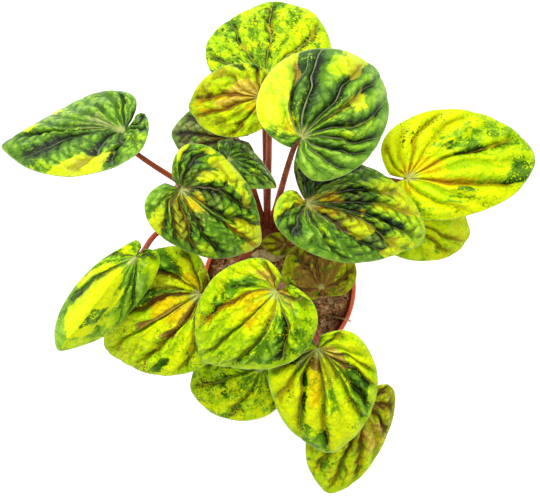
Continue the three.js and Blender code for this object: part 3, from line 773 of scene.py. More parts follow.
def lift_blade(sheet):
    along, phase, leaf = sheet.along, sheet.phase, sheet.leaf
    length, width = leaf["length"], leaf["width"]
    (swell_one, waves_one), (swell_two, waves_two) = SWELLS
    swell = 1 + swell_one * np.sin(waves_one * math.pi * along + phase[sheet.index])
    swell = swell + swell_two * np.sin(waves_two * math.pi * along + phase[3])
    full = leaf["ridge"] * (1 - np.exp(-sheet.ridge_width / RIDGE_WIDTH_TO_RISE))
    ridges = full * swell * (1 - MARGIN_FLATNESS * along**6) * sheet.rise
    from_stalk = np.hypot(sheet.x, sheet.y) / (PIT_SPREAD * length)
    pit = CENTRE_PIT * length * (1 - np.exp(-(from_stalk**2)))
    droop = leaf["droop"] * length * (sheet.x / ((1 - leaf["back"]) * length)) ** 2
    cup = leaf["cup"] * width / 2 * (2 * sheet.y / width) ** 2
    wave = MARGIN_WAVE * width * np.sin(WAVES_PER_EIGHTH * sheet.eighths + phase[4]) * ease(along, 0.55, 1)
    sheet.z = pit - droop - cup - leaf["fold"] * np.abs(sheet.y) + ridges + wave


# %% [markdown]
# A blade's sheet is filled in step by step. Its random numbers come from a source seeded by the leaf's name,
# so each leaf keeps its own character and never changes.

# %% A blade's sheet
ANY_PHASE = 6.28
LEAST_LEAN, MOST_LEAN = 0.85, 1.18


def blade_sheet(name):
    chance = random.Random(name)
    sheet = lay_grid(name)
    sheet.phase = np.array([chance.uniform(0, ANY_PHASE) for _ in sheet.growth["veins"]])
    sheet.lean = np.array([chance.uniform(LEAST_LEAN, MOST_LEAN) for _ in sheet.growth["veins"][1:]])
    for fill in (lay_flat, raise_ridges, split_ridges, pucker_ridges, fade_veins, lift_blade):
        fill(sheet)
    return sheet


def blade_matrix(leaf):
    turn = Matrix.Rotation(math.radians(leaf["heading"]), 4, "Z")
    turn = turn @ Matrix.Rotation(math.radians(leaf["pitch"]), 4, "Y")
    turn = turn @ Matrix.Rotation(math.radians(leaf["roll"]), 4, "X")
    return Matrix.Translation(Vector(leaf["at"]) * MM) @ turn @ Matrix.Scale(MM, 4)


# %% [markdown]
# ## The markings
# A variegated leaf is a patchwork: some of its tissue has no green in it. The patches follow the veins,
# with ragged edges. The table below gives each leaf a ground tone and the marks on it, tone by tone, in the
# order in which they are laid. A mark is the stretch of the blade that it covers: from one place round the
# blade to another, both counted in ridges from the first vein, and from one share of the way out to
# another. A last number below 1 makes the patch a loose mottle that covers only that share.
#
# How far a point lies inside or outside a mark is stored on the mesh in millimetres, and the shader later
# lets the edge wander.

# %% Markings of the blades
MARKS = {
    "leaf_back_large": ("green", {
        "dark": [(2.9, 3.6, 0.08, 0.6, 0.8), (4.5, 5.5, 0.06, 0.5, 0.8), (6.2, 8, 0.03, 0.5),
            (7.9, 9, 0.1, 1, 0.85), (11.35, 12, 0.55, 1)],
        "pale": [(0, 2.6, 0.5, 1, 0.45), (5, 6, 0.86, 1, 0.7)],
        "yellow": [(6.95, 7.6, 0.72, 1, 0.8), (4.25, 4.6, 0.5, 0.6, 0.8), (5.5, 6, 0.52, 0.68, 0.7),
            (9, 11.4, 0.16, 1)],
        "golden": [(7, 7.4, 0.74, 0.9, 0.3), (5.85, 6.1, 0.25, 0.6, 0.5), (9, 9.35, 0.12, 0.85, 0.9),
            (10, 11, 0.12, 0.38, 0.7)],
        "lime": [(7.3, 7.7, 0.66, 0.95, 0.6), (4.2, 5, 0.35, 0.75, 0.45), (9.2, 11, 0.25, 1, 0.48)],
        "green": [(9.3, 10.6, 0.35, 0.9, 0.12), (12.2, 13, 0, 1)],
    }),
    "leaf_back_top": ("lime", {
        "green": [(4.8, 13, 0, 1, 0.52), (0, 4.8, 0, 1, 0.38)],
        "dark": [(6, 11.4, 0.15, 0.9, 0.25)],
        "yellow": [(0, 5.1, 0.3, 1, 0.38), (5, 13, 0.3, 1, 0.25)],
        "golden": [(10.5, 13, 0.1, 0.5, 0.5)],
    }),
    "leaf_back_tan": ("lime", {
        "yellow": [(0, 11, 0.35, 1, 0.4)],
        "olive": [(0, 11, 0.2, 1, 0.5)],
        "tan": [(2, 5.2, 0.04, 0.46, 0.95), (5, 6, 0.02, 0.6, 0.9)],
        "golden": [(5, 6, 0.5, 0.9, 0.6), (6, 9, 0.03, 0.3, 0.7)],
        "brown": [(2, 5, 0.5, 0.85, 0.2)],
        "dark": [(1.9, 2.4, 0.8, 0.97, 0.8), (2.8, 3.2, 0.74, 0.92, 0.8)],
    }),
    "leaf_far_left": ("green", {
        "dull": [(4.6, 8, 0.02, 0.36, 0.55)],
        "dark": [(0, 3, 0, 0.3, 0.8), (2, 15, 0.1, 1, 0.42)],
        "pale": [(3.5, 8.6, 0.4, 1, 0.12)],
        "yellow": [(7.05, 7.8, 0.78, 1), (5.5, 5.9, 0.86, 1, 0.9), (9.65, 10.85, 0.66, 1)],
        "lime": [(10.5, 12.3, 0.5, 1, 0.2), (9, 9.6, 0.88, 1, 0.2)],
    }),
    "leaf_left_large": ("green", {
        "grey": [(0, 15, 0, 0.45, 0.75)],
        "pale": [(0, 1.8, 0.35, 1, 0.6)],
        "yellow": [(2.25, 3, 0.58, 1, 0.95), (5.2, 5.6, 0.8, 0.88, 0.6), (8, 8.95, 0.62, 1),
            (7.3, 8, 0.86, 1, 0.8), (9.1, 9.6, 0.86, 0.94, 0.7), (10, 10.3, 0.78, 0.9, 0.8),
            (10.5, 10.95, 0.36, 0.7, 0.95), (10.45, 11.4, 0.7, 1), (11.7, 12.2, 0.9, 0.99, 0.8),
            (13.3, 13.9, 0.74, 0.95, 0.9)],
        "lime": [(2.1, 3, 0.45, 0.6, 0.6), (5, 5.7, 0.72, 0.95, 0.7), (9, 11, 0.5, 1, 0.25),
            (9, 9.5, 0.5, 0.62, 0.8), (12.6, 13.2, 0.68, 0.82, 0.8)],
        "olive": [(4, 5, 0.12, 0.8)],
        "golden": [(4.4, 5, 0.3, 0.42, 0.5), (6, 7.3, 0.12, 0.25, 0.7), (8.5, 9.4, 0.17, 0.25, 0.8),
            (7.9, 8.2, 0.55, 0.95, 0.8)],
    }),
    "leaf_left_curled": ("green", {
        "pale": [(0, 10, 0.4, 1, 0.45)],
        "lime": [(3, 7, 0.5, 1, 0.35)],
    }),
    "leaf_left_dull": ("dull", {
        "brown": [(0, 10, 0, 0.5, 0.5)],
        "green": [(0, 10, 0.4, 1, 0.4)],
    }),
    "leaf_far_right": ("yellow", {
        "lime": [(1, 2, 0.3, 1, 0.8), (3, 4, 0.15, 0.6, 0.7), (5, 8, 0.3, 1, 0.6)],
        "golden": [(1.5, 3, 0.05, 0.38, 0.8), (4.5, 5.3, 0.1, 0.55, 0.65), (5.8, 9, 0.08, 0.28, 0.6),
            (9, 12, 0, 0.22, 0.5)],
        "green": [(6.5, 8.7, 0.42, 1, 0.5), (5.05, 6.1, 0.8, 1), (3, 4.4, 0.55, 1, 0.35),
            (2, 2.9, 0.5, 1, 0.4), (0.8, 1.6, 0.9, 1, 0.7), (6.4, 7.6, 0.9, 1, 0.7)],
        "dark": [(7.1, 8.2, 0.42, 0.64, 0.6), (5.05, 6, 0.83, 1), (4.35, 4.7, 0.48, 0.66, 0.7),
            (7.4, 7.7, 0.78, 0.86, 0.8)],
    }),
    "leaf_right_low": ("lime", {
        "yellow": [(3, 11, 0.3, 1, 0.7)],
        "green": [(0, 5, 0.4, 1, 0.2)],
        "golden": [(0, 11, 0, 0.3, 0.5)],
    }),
    "leaf_right_dark": ("grey", {
        "green": [(1.8, 7, 0.3, 1, 0.9), (8.1, 10, 0.46, 1), (10, 13, 0.5, 1, 0.8)],
        "pale": [(2, 7, 0.45, 1, 0.3)],
        "lime": [(0.2, 1.8, 0.35, 1, 0.85), (5, 5.7, 0.34, 0.5, 0.9), (5, 5.6, 0.62, 0.7, 0.6),
            (9.4, 10.1, 0.5, 0.8, 0.8), (9.4, 11.8, 0.62, 1), (8.8, 9.7, 0.82, 1),
            (8, 9, 0.52, 0.66, 0.5), (7.8, 9, 0.72, 1, 0.85)],
        "yellow": [(0.6, 1.7, 0.6, 0.95, 0.5), (7.1, 8, 0.36, 0.62), (9.7, 10.1, 0.56, 0.72, 0.7),
            (9.9, 11.5, 0.7, 1, 0.7), (7.9, 8.6, 0.78, 1, 0.45), (6.9, 7.9, 0.88, 1, 0.9)],
        "golden": [(1.6, 2.2, 0.2, 0.35, 0.6), (7.1, 8, 0.05, 0.12, 0.9), (7.15, 8, 0.16, 0.26, 0.85),
            (10.05, 11, 0.1, 0.28, 0.9), (11.4, 12.6, 0.08, 0.17, 0.8), (8.6, 9.2, 0.34, 0.42, 0.7)],
        "brown": [(6.75, 7.1, 0.25, 0.5, 0.7)],
        "olive": [(7.1, 8, 0.24, 0.4, 0.8)],
        "dark": [(8, 10, 0.1, 0.42, 0.9), (9.1, 9.35, 0.62, 0.76, 0.7), (12.6, 15, 0.1, 0.6, 0.7)],
    }),
    "leaf_front_middle": ("lime", {
        "tan": [(0.4, 2.4, 0.05, 0.7, 0.75), (12.2, 14, 0, 0.42, 0.65)],
        "green": [(3.1, 4.2, 0.3, 0.74, 0.95), (4.25, 5, 0.48, 0.76), (9.1, 11, 0.3, 0.9, 0.8),
            (11, 12.5, 0.6, 1, 0.5), (6.5, 9, 0.6, 1, 0.3)],
        "dark": [(3.3, 3.9, 0.4, 0.6, 0.5), (10.4, 10.9, 0.34, 0.62, 0.6)],
        "yellow": [(5, 6.7, 0.08, 0.52), (7.9, 8.9, 0.08, 0.5, 0.9), (0, 5, 0.7, 1, 0.4)],
        "golden": [(5, 5.8, 0.08, 0.32, 0.75), (4.9, 5.25, 0.3, 0.8, 0.6), (6.1, 6.9, 0.12, 0.33, 0.8),
            (7.3, 8.3, 0.22, 0.42, 0.7), (8, 8.8, 0.08, 0.24, 0.6)],
        "pale": [(12, 13, 0.12, 0.5, 0.5)],
    }),
    "leaf_front_left": ("olive", {
        "lime": [(0.4, 2, 0.4, 1, 0.85), (5.1, 9, 0.42, 1, 0.65), (9, 12, 0.3, 1, 0.75)],
        "yellow": [(1, 2, 0.25, 0.7, 0.8), (3.2, 3.8, 0.1, 0.4, 0.6), (5.2, 9, 0.5, 1, 0.4),
            (7.3, 8.6, 0.4, 0.62, 0.6), (10, 11, 0.4, 1, 0.6)],
        "golden": [(1, 2, 0.18, 0.38, 0.6), (5.2, 5.95, 0.12, 0.46, 0.9), (7.5, 8.7, 0.08, 0.36, 0.75)],
        "dark": [(2, 3, 0.34, 0.66), (4, 4.9, 0.2, 0.62), (9.6, 10, 0.78, 0.95, 0.85)],
        "green": [(2, 2.7, 0.6, 1, 0.8), (5.2, 6.6, 0.55, 0.8, 0.4)],
        "brown": [(8.6, 9.3, 0.06, 0.5, 0.75), (6, 6.7, 0.05, 0.6, 0.7), (4.8, 5.2, 0, 0.5, 0.8),
            (7.3, 8.6, 0.04, 0.5, 0.3)],
    }),
    "leaf_front_folded": ("green", {
        "lime": [(1, 2, 0.14, 0.75, 0.9), (2.6, 3.9, 0.3, 1, 0.4), (5, 7, 0.7, 1, 0.5),
            (9, 10.3, 0.15, 1, 0.8)],
        "yellow": [(1.2, 1.9, 0.3, 0.72, 0.7), (3, 3.7, 0.3, 0.85, 0.7), (4.1, 5.9, 0.14, 0.84),
            (5.8, 6.5, 0.34, 0.74, 0.7)],
        "dark": [(5, 5.9, 0.52, 0.72, 0.85), (6.6, 8, 0.14, 0.42, 0.9), (10.2, 11, 0.3, 0.65, 0.9)],
        "pale": [(8, 9.2, 0.36, 0.8, 0.9), (3.7, 4.2, 0.05, 1, 0.6)],
    }),
    "leaf_front_small": ("lime", {
        "green": [(0, 11, 0, 1, 0.45)],
        "dark": [(2.7, 7, 0.1, 1, 0.3)],
        "yellow": [(5.5, 9.3, 0.4, 1, 0.4)],
    }),
    "leaf_front_right": ("lime", {
        "green": [(0, 2, 0.3, 1, 0.5), (5.75, 6, 0.5, 0.7, 0.5), (5.1, 6, 0.78, 1, 0.6),
            (6.2, 7.2, 0.36, 0.6, 0.5), (8, 9.1, 0.56, 0.94, 0.85)],
        # The last of these dark marks, from ridge 9.95 to 10.5, is a painted shadow.
        "dark": [(2.1, 3.4, 0.22, 0.7, 0.95), (5, 5.22, 0.2, 0.66), (9.05, 9.95, 0.4, 0.82),
            (8.6, 9.1, 0.34, 0.46, 0.9), (9.95, 10.5, 0.4, 0.6, 0.85)],
        "dull": [(3.2, 4, 0.14, 0.4, 0.9)],
        "yellow": [(3.2, 5, 0.45, 0.95, 0.8), (5.2, 6, 0.16, 0.76), (6, 8, 0.58, 0.95, 0.7),
            (10.2, 13, 0.5, 1, 0.6)],
        "golden": [(5.3, 5.75, 0.18, 0.55, 0.95)],
        "brown": [(5, 6, 0.05, 0.19, 0.85), (6.1, 7, 0.1, 0.28, 0.5), (9.4, 11, 0.1, 0.4, 0.8)],
        "olive": [(6, 8, 0.07, 0.36, 0.8)],
        "tan": [(11, 12.2, 0.08, 0.34, 0.6)],
    }),
    "leaf_front_low": ("olive", {
        "brown": [(6.1, 10.2, 0.1, 0.8, 0.4), (0, 3.9, 0, 0.5, 0.5)],
        "lime": [(3.2, 6.7, 0.5, 1, 0.7)],
        "yellow": [(3.6, 6.6, 0.55, 1, 0.5)],
        "tan": [(5.7, 7.7, 0.2, 0.7, 0.4)],
        "green": [(3.4, 4.8, 0.6, 1, 0.4)],
    }),
    "leaf_low_brown": ("brown", {
        "olive": [(0, 10, 0.7, 1, 0.8), (0, 2.7, 0.4, 1, 0.6)],
        "green": [(0, 10, 0.4, 1, 0.25)],
    }),
    "leaf_young": ("brown", {
        "olive": [(0, 6, 0.5, 1, 0.6)],
    }),
}
print(sum(len(marks) for _, tones in MARKS.values() for marks in tones.values()), "marks")

# %% How far inside a mark a point lies
MARK_REACH = 6.0
MARK_WANDER = 2.4


def mark_field(sheet, first, second, near, far, share=1.0):
    """How far inside a mark each point lies, in mm, less than zero outside."""
    last_vein = sheet.paths.shape[1] - 1
    eighth_width = sheet.along * sheet.reach * 2 * math.pi / 8
    field = np.full(sheet.along.shape, MARK_REACH)
    for ridge, sign in ((first, 1), (second, -1)):
        if 0 < ridge < last_vein:
            low = int(ridge)
            edge = sheet.paths[:, low] + (ridge - low) * (sheet.paths[:, low + 1] - sheet.paths[:, low])
            field = np.minimum(field, sign * (sheet.eighths - edge[:, None]) * eighth_width)
    if near > 0:
        field = np.minimum(field, (sheet.along - near) * sheet.reach)
    if far < 1:
        field = np.minimum(field, (far - sheet.along) * sheet.reach)
    most = MARK_REACH if share == 1 else (2 * share - 1) * MARK_WANDER
    return np.clip(field, -MARK_REACH, most)


def mark_fields(name, sheet):
    """One field for each tone that the leaf shows, with all its marks of that tone together."""
    tones = MARKS[name][1]
    return {tone: np.max([mark_field(sheet, *mark) for mark in marks], 0) for tone, marks in tones.items()}


# %% [markdown]
# ## Making a blade
# One grid for each blade: Blender adds it flat, the sheet's tables move its points, and the row at the
# stalk, which is now a single place, is merged. The solidify modifier then gives the sheet its thickness,
# with a material of its own for the underside. Solidify is the usual way to make a leaf, because a sheet
# alone has no edge and shows nothing real from below.

# %% Build one blade
SHEET_THICKNESS = 0.62
MERGE_DISTANCE = 1e-7
PAINT_TABLES = ("ridge", "along", "shade", "ridge_width", "fork_offset", "pucker", "vein_strength")


def build_blade(name):
    sheet = blade_sheet(name)
    rows, columns = sheet.along.shape
    select_only()
    bpy.ops.mesh.primitive_grid_add(x_subdivisions=columns - 1, y_subdivisions=rows - 1, size=1)
    blade = bpy.context.object
    mesh = blade.data
    flat = np.empty(len(mesh.vertices) * 3, np.float32)
    mesh.vertices.foreach_get("co", flat)
    flat = flat.reshape(-1, 3)
    column = np.rint((flat[:, 0] + 0.5) * (columns - 1)).astype(int)
    row = np.rint((flat[:, 1] + 0.5) * (rows - 1)).astype(int)
    points = np.stack([sheet.x, sheet.y, sheet.z], -1)
    mesh.vertices.foreach_set("co", points[row, column].astype(np.float32).ravel())
    for title in PAINT_TABLES:
        add_values(mesh, title, getattr(sheet, title)[row, column])
    for tone, field in mark_fields(name, sheet).items():
        add_values(mesh, "mark_" + tone, field[row, column])
    mesh.transform(blade_matrix(LEAVES[name]))
    edit_mesh(blade)
    bpy.ops.mesh.remove_doubles(threshold=MERGE_DISTANCE)
    turn_faces_out()
    return blade


def face_up(blade, up):
    """Turns a sheet's faces up. A sheet has no outside, so they may all have been turned down."""
    facing = sum((polygon.normal.dot(up) * polygon.area for polygon in blade.data.polygons), 0.0)
    if facing < 0:
        blade.data.flip_normals()


# %% [markdown]
# ## Leaf paint
# Every leaf is painted from the same few tones. A tone is three colours: one for the valleys, one for the
# flanks and one for the crests of the ridges. A leaf is a little darker where it dips, and on top of that
# the valley colours hold painted shade and the crest colours a painted highlight. The groups below are
# built once, and each leaf's material places them with its own values.

# %% Tones
TONES = {
    "green": ((20, 36, 0), (80, 130, 2), (152, 200, 40)),
    "dark": ((12, 24, 2), (42, 80, 2), (104, 150, 32)),
    "grey": ((20, 28, 6), (94, 122, 22), (164, 190, 88)),
    "dull": ((54, 52, 28), (116, 124, 58), (168, 178, 104)),
    "pale": ((52, 88, 8), (120, 170, 32), (178, 218, 80)),
    "lime": ((92, 116, 0), (160, 202, 0), (212, 240, 12)),
    "yellow": ((168, 162, 0), (206, 224, 0), (230, 243, 4)),
    "golden": ((146, 108, 0), (212, 184, 0), (238, 220, 8)),
    "tan": ((120, 80, 20), (196, 168, 48), (228, 208, 90)),
    "olive": ((88, 72, 6), (148, 156, 6), (198, 212, 20)),
    "brown": ((78, 52, 18), (132, 102, 32), (168, 140, 54)),
}
print(len(TONES), "tones")


# %% [markdown]
# The first group turns a shade into a colour: the valley's below, the flank's in the middle and the crest's
# on top. So it paints shade into the valleys and a highlight onto the crests, over the tissue's own colour.

# %% Group: tissue and painted shade from valley to crest
def build_tissue_and_shade_group():
    tree, given, out = new_group(
        "leaf tissue and painted shade",
        {"Shade": "Float", "Valley": "Color", "Flank": "Color", "Crest": "Color"},
        {"Color": "Color"},
    )
    low = smooth_step(tree, given["Shade"], 0.05, 0.5)
    high = smooth_step(tree, given["Shade"], 0.5, 0.95)
    colour = blend_colours(tree, low, given["Valley"], given["Flank"])
    tree.links.new(blend_colours(tree, high, colour, given["Crest"]), out["Color"])
    return tree


TISSUE_AND_SHADE = build_tissue_and_shade_group()


# %% [markdown]
# The edge of a mark wanders by four noises added up, whose weights make one. Two are laid along the ridges,
# so that patches run outwards in streaks. Two are laid over the leaf in true size, in lumps of seven
# millimetres and of a little over one, and break the streaks up. A seed moves the noises for each mark.

# %% Group: a mark's ragged edge
STREAKS = ((1.7, 3.2, 0.25), (5.0, 7.0, 0.25))
SPECKS = ((150.0, 0.35), (800.0, 0.15))
NOISE_MIDDLE = 0.5
NOISE_GAIN = 8.0


def build_mark_group():
    tree, given, out = new_group(
        "ragged mark",
        {"Field": "Float", "Wander": ("Float", MARK_WANDER), "Softness": ("Float", 0.8), "Seed": "Float"},
        {"Mask": "Float"},
    )
    swing = -NOISE_MIDDLE
    for across, outwards, weight in STREAKS:
        at = combine(
            tree,
            calculate(tree, "MULTIPLY", read_attribute(tree, "ridge"), across),
            calculate(tree, "MULTIPLY", read_attribute(tree, "along"), outwards),
            given["Seed"],
        )
        swing = calculate(tree, "MULTIPLY_ADD", noise_on(tree, at, 1.0, 3.0, 0.6), weight, swing)
    place = place_on_piece(tree, combine(tree, z=given["Seed"]))
    for scale, weight in SPECKS:
        swing = calculate(tree, "MULTIPLY_ADD", noise_on(tree, place, scale), weight, swing)
    swing = calculate(tree, "MULTIPLY", swing, NOISE_GAIN)
    moved = calculate(tree, "MULTIPLY_ADD", swing, given["Wander"], given["Field"])
    least = calculate(tree, "MULTIPLY", given["Softness"], -1.0)
    tree.links.new(smooth_step(tree, moved, least, given["Softness"]), out["Mask"])
    return tree


MARK = build_mark_group()


# %% [markdown]
# Flecks are single spots of another tone, about a millimetre across, that lie anywhere, but more in some
# places than in others. A noise rises above a high limit in as many spots as there should be flecks.

# %% Group: flecks
FLECK_SCALE = 950.0
FLECK_CROWD_SCALE = 130.0
FLECK_CROWDING = 0.7
FLECK_LIMITS = (0.72, 0.28)


def build_fleck_group():
    tree, given, out = new_group("flecks", {"Share": ("Float", 0.2), "Seed": "Float"}, {"Mask": "Float"})
    place = place_on_piece(tree, combine(tree, z=given["Seed"]))
    spots = noise_on(tree, place, FLECK_SCALE, 2.0, 0.6)
    spots = push(tree, spots, noise_on(tree, place, FLECK_CROWD_SCALE), FLECK_CROWDING)
    limit = smooth_step(tree, given["Share"], 0.0, 1.0, *FLECK_LIMITS)
    above = calculate(tree, "SUBTRACT", spots, limit)
    tree.links.new(smooth_step(tree, above, -0.02, 0.06), out["Mask"])
    return tree


FLECKS = build_fleck_group()


# %% [markdown]
# Main veins are whole numbers of the ridge count, so a vein is drawn wherever that count is near a whole
# number. The distance in millimetres keeps the line's width true, and it thins towards the margin. The
# second output is the pale star over the stalk, where all veins meet.

# %% Group: veins
VEIN_TAPER = (1.3, 0.6)
STAR_EDGE = (0.11, 0.03)


def build_vein_group():
    tree, given, out = new_group(
        "veins", {"Half width": ("Float", 0.3)}, {"Mask": "Float", "Star": "Float"})
    ridge = read_attribute(tree, "ridge")
    along = read_attribute(tree, "along")
    off = calculate(tree, "SUBTRACT", ridge, calculate(tree, "ROUND", ridge))
    off = calculate(tree, "MULTIPLY", calculate(tree, "ABSOLUTE", off), read_attribute(tree, "ridge_width"))
    off_fork = calculate(tree, "ABSOLUTE", read_attribute(tree, "fork_offset"))
    off = calculate(tree, "MINIMUM", off, off_fork)
    half = calculate(tree, "MULTIPLY", given["Half width"], smooth_step(tree, along, 0.0, 1.0, *VEIN_TAPER))
    outer = calculate(tree, "MULTIPLY", half, 1.5)
    inner = calculate(tree, "MULTIPLY", half, 0.4)
    line = smooth_step(tree, off, outer, inner)
    mask = calculate(tree, "MULTIPLY", line, read_attribute(tree, "vein_strength"))
    tree.links.new(mask, out["Mask"])
    tree.links.new(smooth_step(tree, along, *STAR_EDGE), out["Star"])
    return tree


VEINS = build_vein_group()


# %% [markdown]
# Close up, the surface is made of tiny shining cells, with a paler or darker one here and there. The tint
# comes from two noises, with lumps of two thirds of a millimetre and of four. Two cell patterns shape the
# relief: cells of just under a millimetre, and a quilt of pads two and a half millimetres wide, whose seams
# are bent by the broad noise and darkened a little with painted shade.

# %% Group: leaf grain
FINE_SCALE = 1500.0
BROAD_SCALE = 260.0
CELL_SCALE = 1100.0
QUILT_SCALE = 400.0
QUILT_BEND = 2.4
# The seams' part of the tint is painted shade.
TINT_PARTS = {"fine": 0.6, "broad": 0.4, "seams": -0.16}
RELIEF_PARTS = {"cells": -0.4, "broad": 0.5, "seams": -0.8}
SHINE = (0.34, 0.5)


def build_grain_group():
    tree, given, out = new_group(
        "leaf grain", {"Strength": ("Float", 1.0)}, {"Tint": "Float", "Relief": "Float", "Shine": "Float"})
    place = place_on_piece(tree)
    fine = noise_on(tree, place, FINE_SCALE, 2.0, 0.6)
    broad = noise_on(tree, place, BROAD_SCALE, 3.0, 0.55)
    bend = calculate(tree, "MULTIPLY", broad, QUILT_BEND * MM)
    bent = place_on_piece(tree, combine(tree, bend, bend))
    seams = smooth_step(tree, cells_on(tree, bent, QUILT_SCALE), 0.25, 0.75)
    tint = calculate(tree, "MULTIPLY", broad, TINT_PARTS["broad"])
    tint = calculate(tree, "MULTIPLY_ADD", fine, TINT_PARTS["fine"], tint)
    tint = push(tree, tint, seams, TINT_PARTS["seams"], 0.4)
    tree.links.new(push(tree, 0.5, tint, given["Strength"]), out["Tint"])
    relief = calculate(tree, "MULTIPLY", broad, RELIEF_PARTS["broad"])
    relief = calculate(tree, "MULTIPLY_ADD", cells_on(tree, place, CELL_SCALE), RELIEF_PARTS["cells"], relief)
    relief = calculate(tree, "MULTIPLY_ADD", seams, RELIEF_PARTS["seams"], relief)
    tree.links.new(relief, out["Relief"])
    tree.links.new(smooth_step(tree, broad, 0.3, 0.7, *SHINE), out["Shine"])
    return tree


GRAIN = build_grain_group()

# %% [markdown]
# A leaf's own material starts with its ground tone and lays its marks over it, tone by tone. The grain and
# the cross veins change the shade at which each tone is read, so they show in all of them: the grain as
# the leaf's own uneven tint, the cross veins as painted shade in their grooves. Then come the flecks, the
# veins, the pale star over the stalk and the thin light rim of the margin.
#
# The brightest marks get a **halo**: a wider, softer mark of a tone between them and the ground. On the
# **glossy** leaves, which are the dark ones, most tones run softly into each other, and SOFT_EDGES gives
# how many millimetres they take for it on either side. All other edges are crisp.

# %% Paint of each leaf
# The veins' colour, and the flecks with the share of the blade that they cover.
LEAF_PAINT = {
    "leaf_back_large": ((176, 186, 128), {"lime": 0.08}),
    "leaf_back_top": ((196, 196, 90), {"dark": 0.22, "yellow": 0.3}),
    "leaf_back_tan": ((186, 140, 66), {"golden": 0.2, "green": 0.1}),
    "leaf_far_left": ((120, 140, 90), {"lime": 0.03}),
    "leaf_left_large": ((140, 132, 84), {"lime": 0.05}),
    "leaf_left_curled": ((120, 150, 80), {"lime": 0.25}),
    "leaf_left_dull": ((90, 72, 54), {"green": 0.3}),
    "leaf_far_right": ((206, 150, 40), {"dark": 0.09, "lime": 0.35}),
    "leaf_right_low": ((128, 96, 20), {"lime": 0.35, "golden": 0.2}),
    "leaf_right_dark": ((150, 150, 120), {"lime": 0.04}),
    "leaf_front_middle": ((190, 164, 100), {"green": 0.2, "yellow": 0.25}),
    "leaf_front_left": ((120, 70, 30), {"yellow": 0.2, "green": 0.2, "brown": 0.12}),
    "leaf_front_folded": ((150, 170, 90), {"lime": 0.25, "yellow": 0.12}),
    "leaf_front_small": ((130, 160, 50), {"yellow": 0.35, "dark": 0.15}),
    "leaf_front_right": ((160, 140, 80), {"green": 0.2, "yellow": 0.25}),
    "leaf_front_low": ((110, 82, 34), {"lime": 0.3, "golden": 0.2}),
    "leaf_low_brown": ((136, 96, 62), {"olive": 0.2}),
    "leaf_young": ((120, 84, 40), {"olive": 0.2}),
}
HALOS = {"yellow": "lime", "golden": "yellow"}
HALO_WANDER = 1.3
HALO_EDGE = 1.5
SOFT_EDGES = {"pale": 2.2, "grey": 2.2, "dull": 2, "dark": 1.6, "green": 1.4, "olive": 1.4, "tan": 1.4}
USUAL_EDGE = 0.8
GLOSSY_LEAVES = ["leaf_back_large", "leaf_far_left", "leaf_left_large", "leaf_left_curled", "leaf_left_dull",
                 "leaf_right_dark"]
STAR_COLOUR = (196, 200, 120)
RIM_COLOUR = (178, 208, 110)
print("glossy:", ", ".join(GLOSSY_LEAVES))


# %% [markdown]
# Laying paint is blending: a mask says where the new colour shows, and how much of the old one stays.

# %% Lay one tone over another
def tone_colour(tree, tone, shade):
    valley, flank, crest = (paint(*colour) for colour in TONES[tone])
    values = {"Shade": shade, "Valley": valley, "Flank": flank, "Crest": crest}
    return use_group(tree, TISSUE_AND_SHADE, values)["Color"]


def lay_tone(tree, colour, mark, tone, shade, **edge):
    """Lays a tone over a colour wherever the ragged mark is."""
    mask = use_group(tree, MARK, {"Field": read_attribute(tree, "mark_" + mark), **edge})["Mask"]
    return blend_colours(tree, mask, colour, tone_colour(tree, tone, shade))


def lay_share(tree, colour, mask, share, over):
    """Lays a plain colour over another, at most by a share, wherever a mask is."""
    return blend_colours(tree, calculate(tree, "MULTIPLY", mask, share), colour, paint(*over))


# %% One material for each leaf
GLOSSY_SPECULAR, DULL_SPECULAR = 0.26, 0.07
GRAIN_WEIGHT = 0.55
# Painted shade in the grooves of the cross veins.
CROSS_VEIN_WEIGHT = -0.35


def painted_leaf_shade(tree, grain):
    """The blade's painted shade, made uneven by the grain, with painted shade in its cross veins."""
    shade = push(tree, read_attribute(tree, "shade"), grain["Tint"], GRAIN_WEIGHT)
    return calculate(tree, "MULTIPLY_ADD", read_attribute(tree, "pucker"), CROSS_VEIN_WEIGHT, shade)


def leaf_material(name, order):
    glossy = name in GLOSSY_LEAVES
    specular = GLOSSY_SPECULAR if glossy else DULL_SPECULAR
    material, tree, shader = new_material(name + "_face", 0.42, specular)
    vein_colour, flecks = LEAF_PAINT[name]
    ground, marks = MARKS[name]
    grain = use_group(tree, GRAIN, {"Strength": 0.5 + GROWTH[name]["pucker"]})
    shade = painted_leaf_shade(tree, grain)
    colour = tone_colour(tree, ground, shade)
    for number, tone in enumerate(marks):
        seed = order * 3.7 + number * 1.3
        halo = HALOS.get(tone, ground)
        if halo != ground:
            wide = {"Wander": MARK_WANDER * HALO_WANDER, "Softness": HALO_EDGE, "Seed": seed}
            colour = lay_tone(tree, colour, tone, halo, shade, **wide)
        softness = SOFT_EDGES.get(tone, USUAL_EDGE) if glossy else USUAL_EDGE
        colour = lay_tone(tree, colour, tone, tone, shade, Softness=softness, Seed=seed)
    for number, (tone, share) in enumerate(flecks.items()):
        mask = use_group(tree, FLECKS, {"Share": share, "Seed": order * 1.7 + number * 5.1})["Mask"]
        colour = blend_colours(tree, mask, colour, tone_colour(tree, tone, shade))
    veins = use_group(tree, VEINS, {"Half width": 0.32})
    colour = lay_share(tree, colour, veins["Mask"], 0.85, vein_colour)
    colour = lay_share(tree, colour, veins["Star"], 0.8, STAR_COLOUR)
    rim = smooth_step(tree, read_attribute(tree, "along"), 0.975, 1.0)
    colour = lay_share(tree, colour, rim, 0.6, RIM_COLOUR)
    tree.links.new(grain["Shine"], shader.inputs["Roughness"])
    finish_skin(tree, shader, colour, grain["Relief"], 0.7, 0.5)
    return material


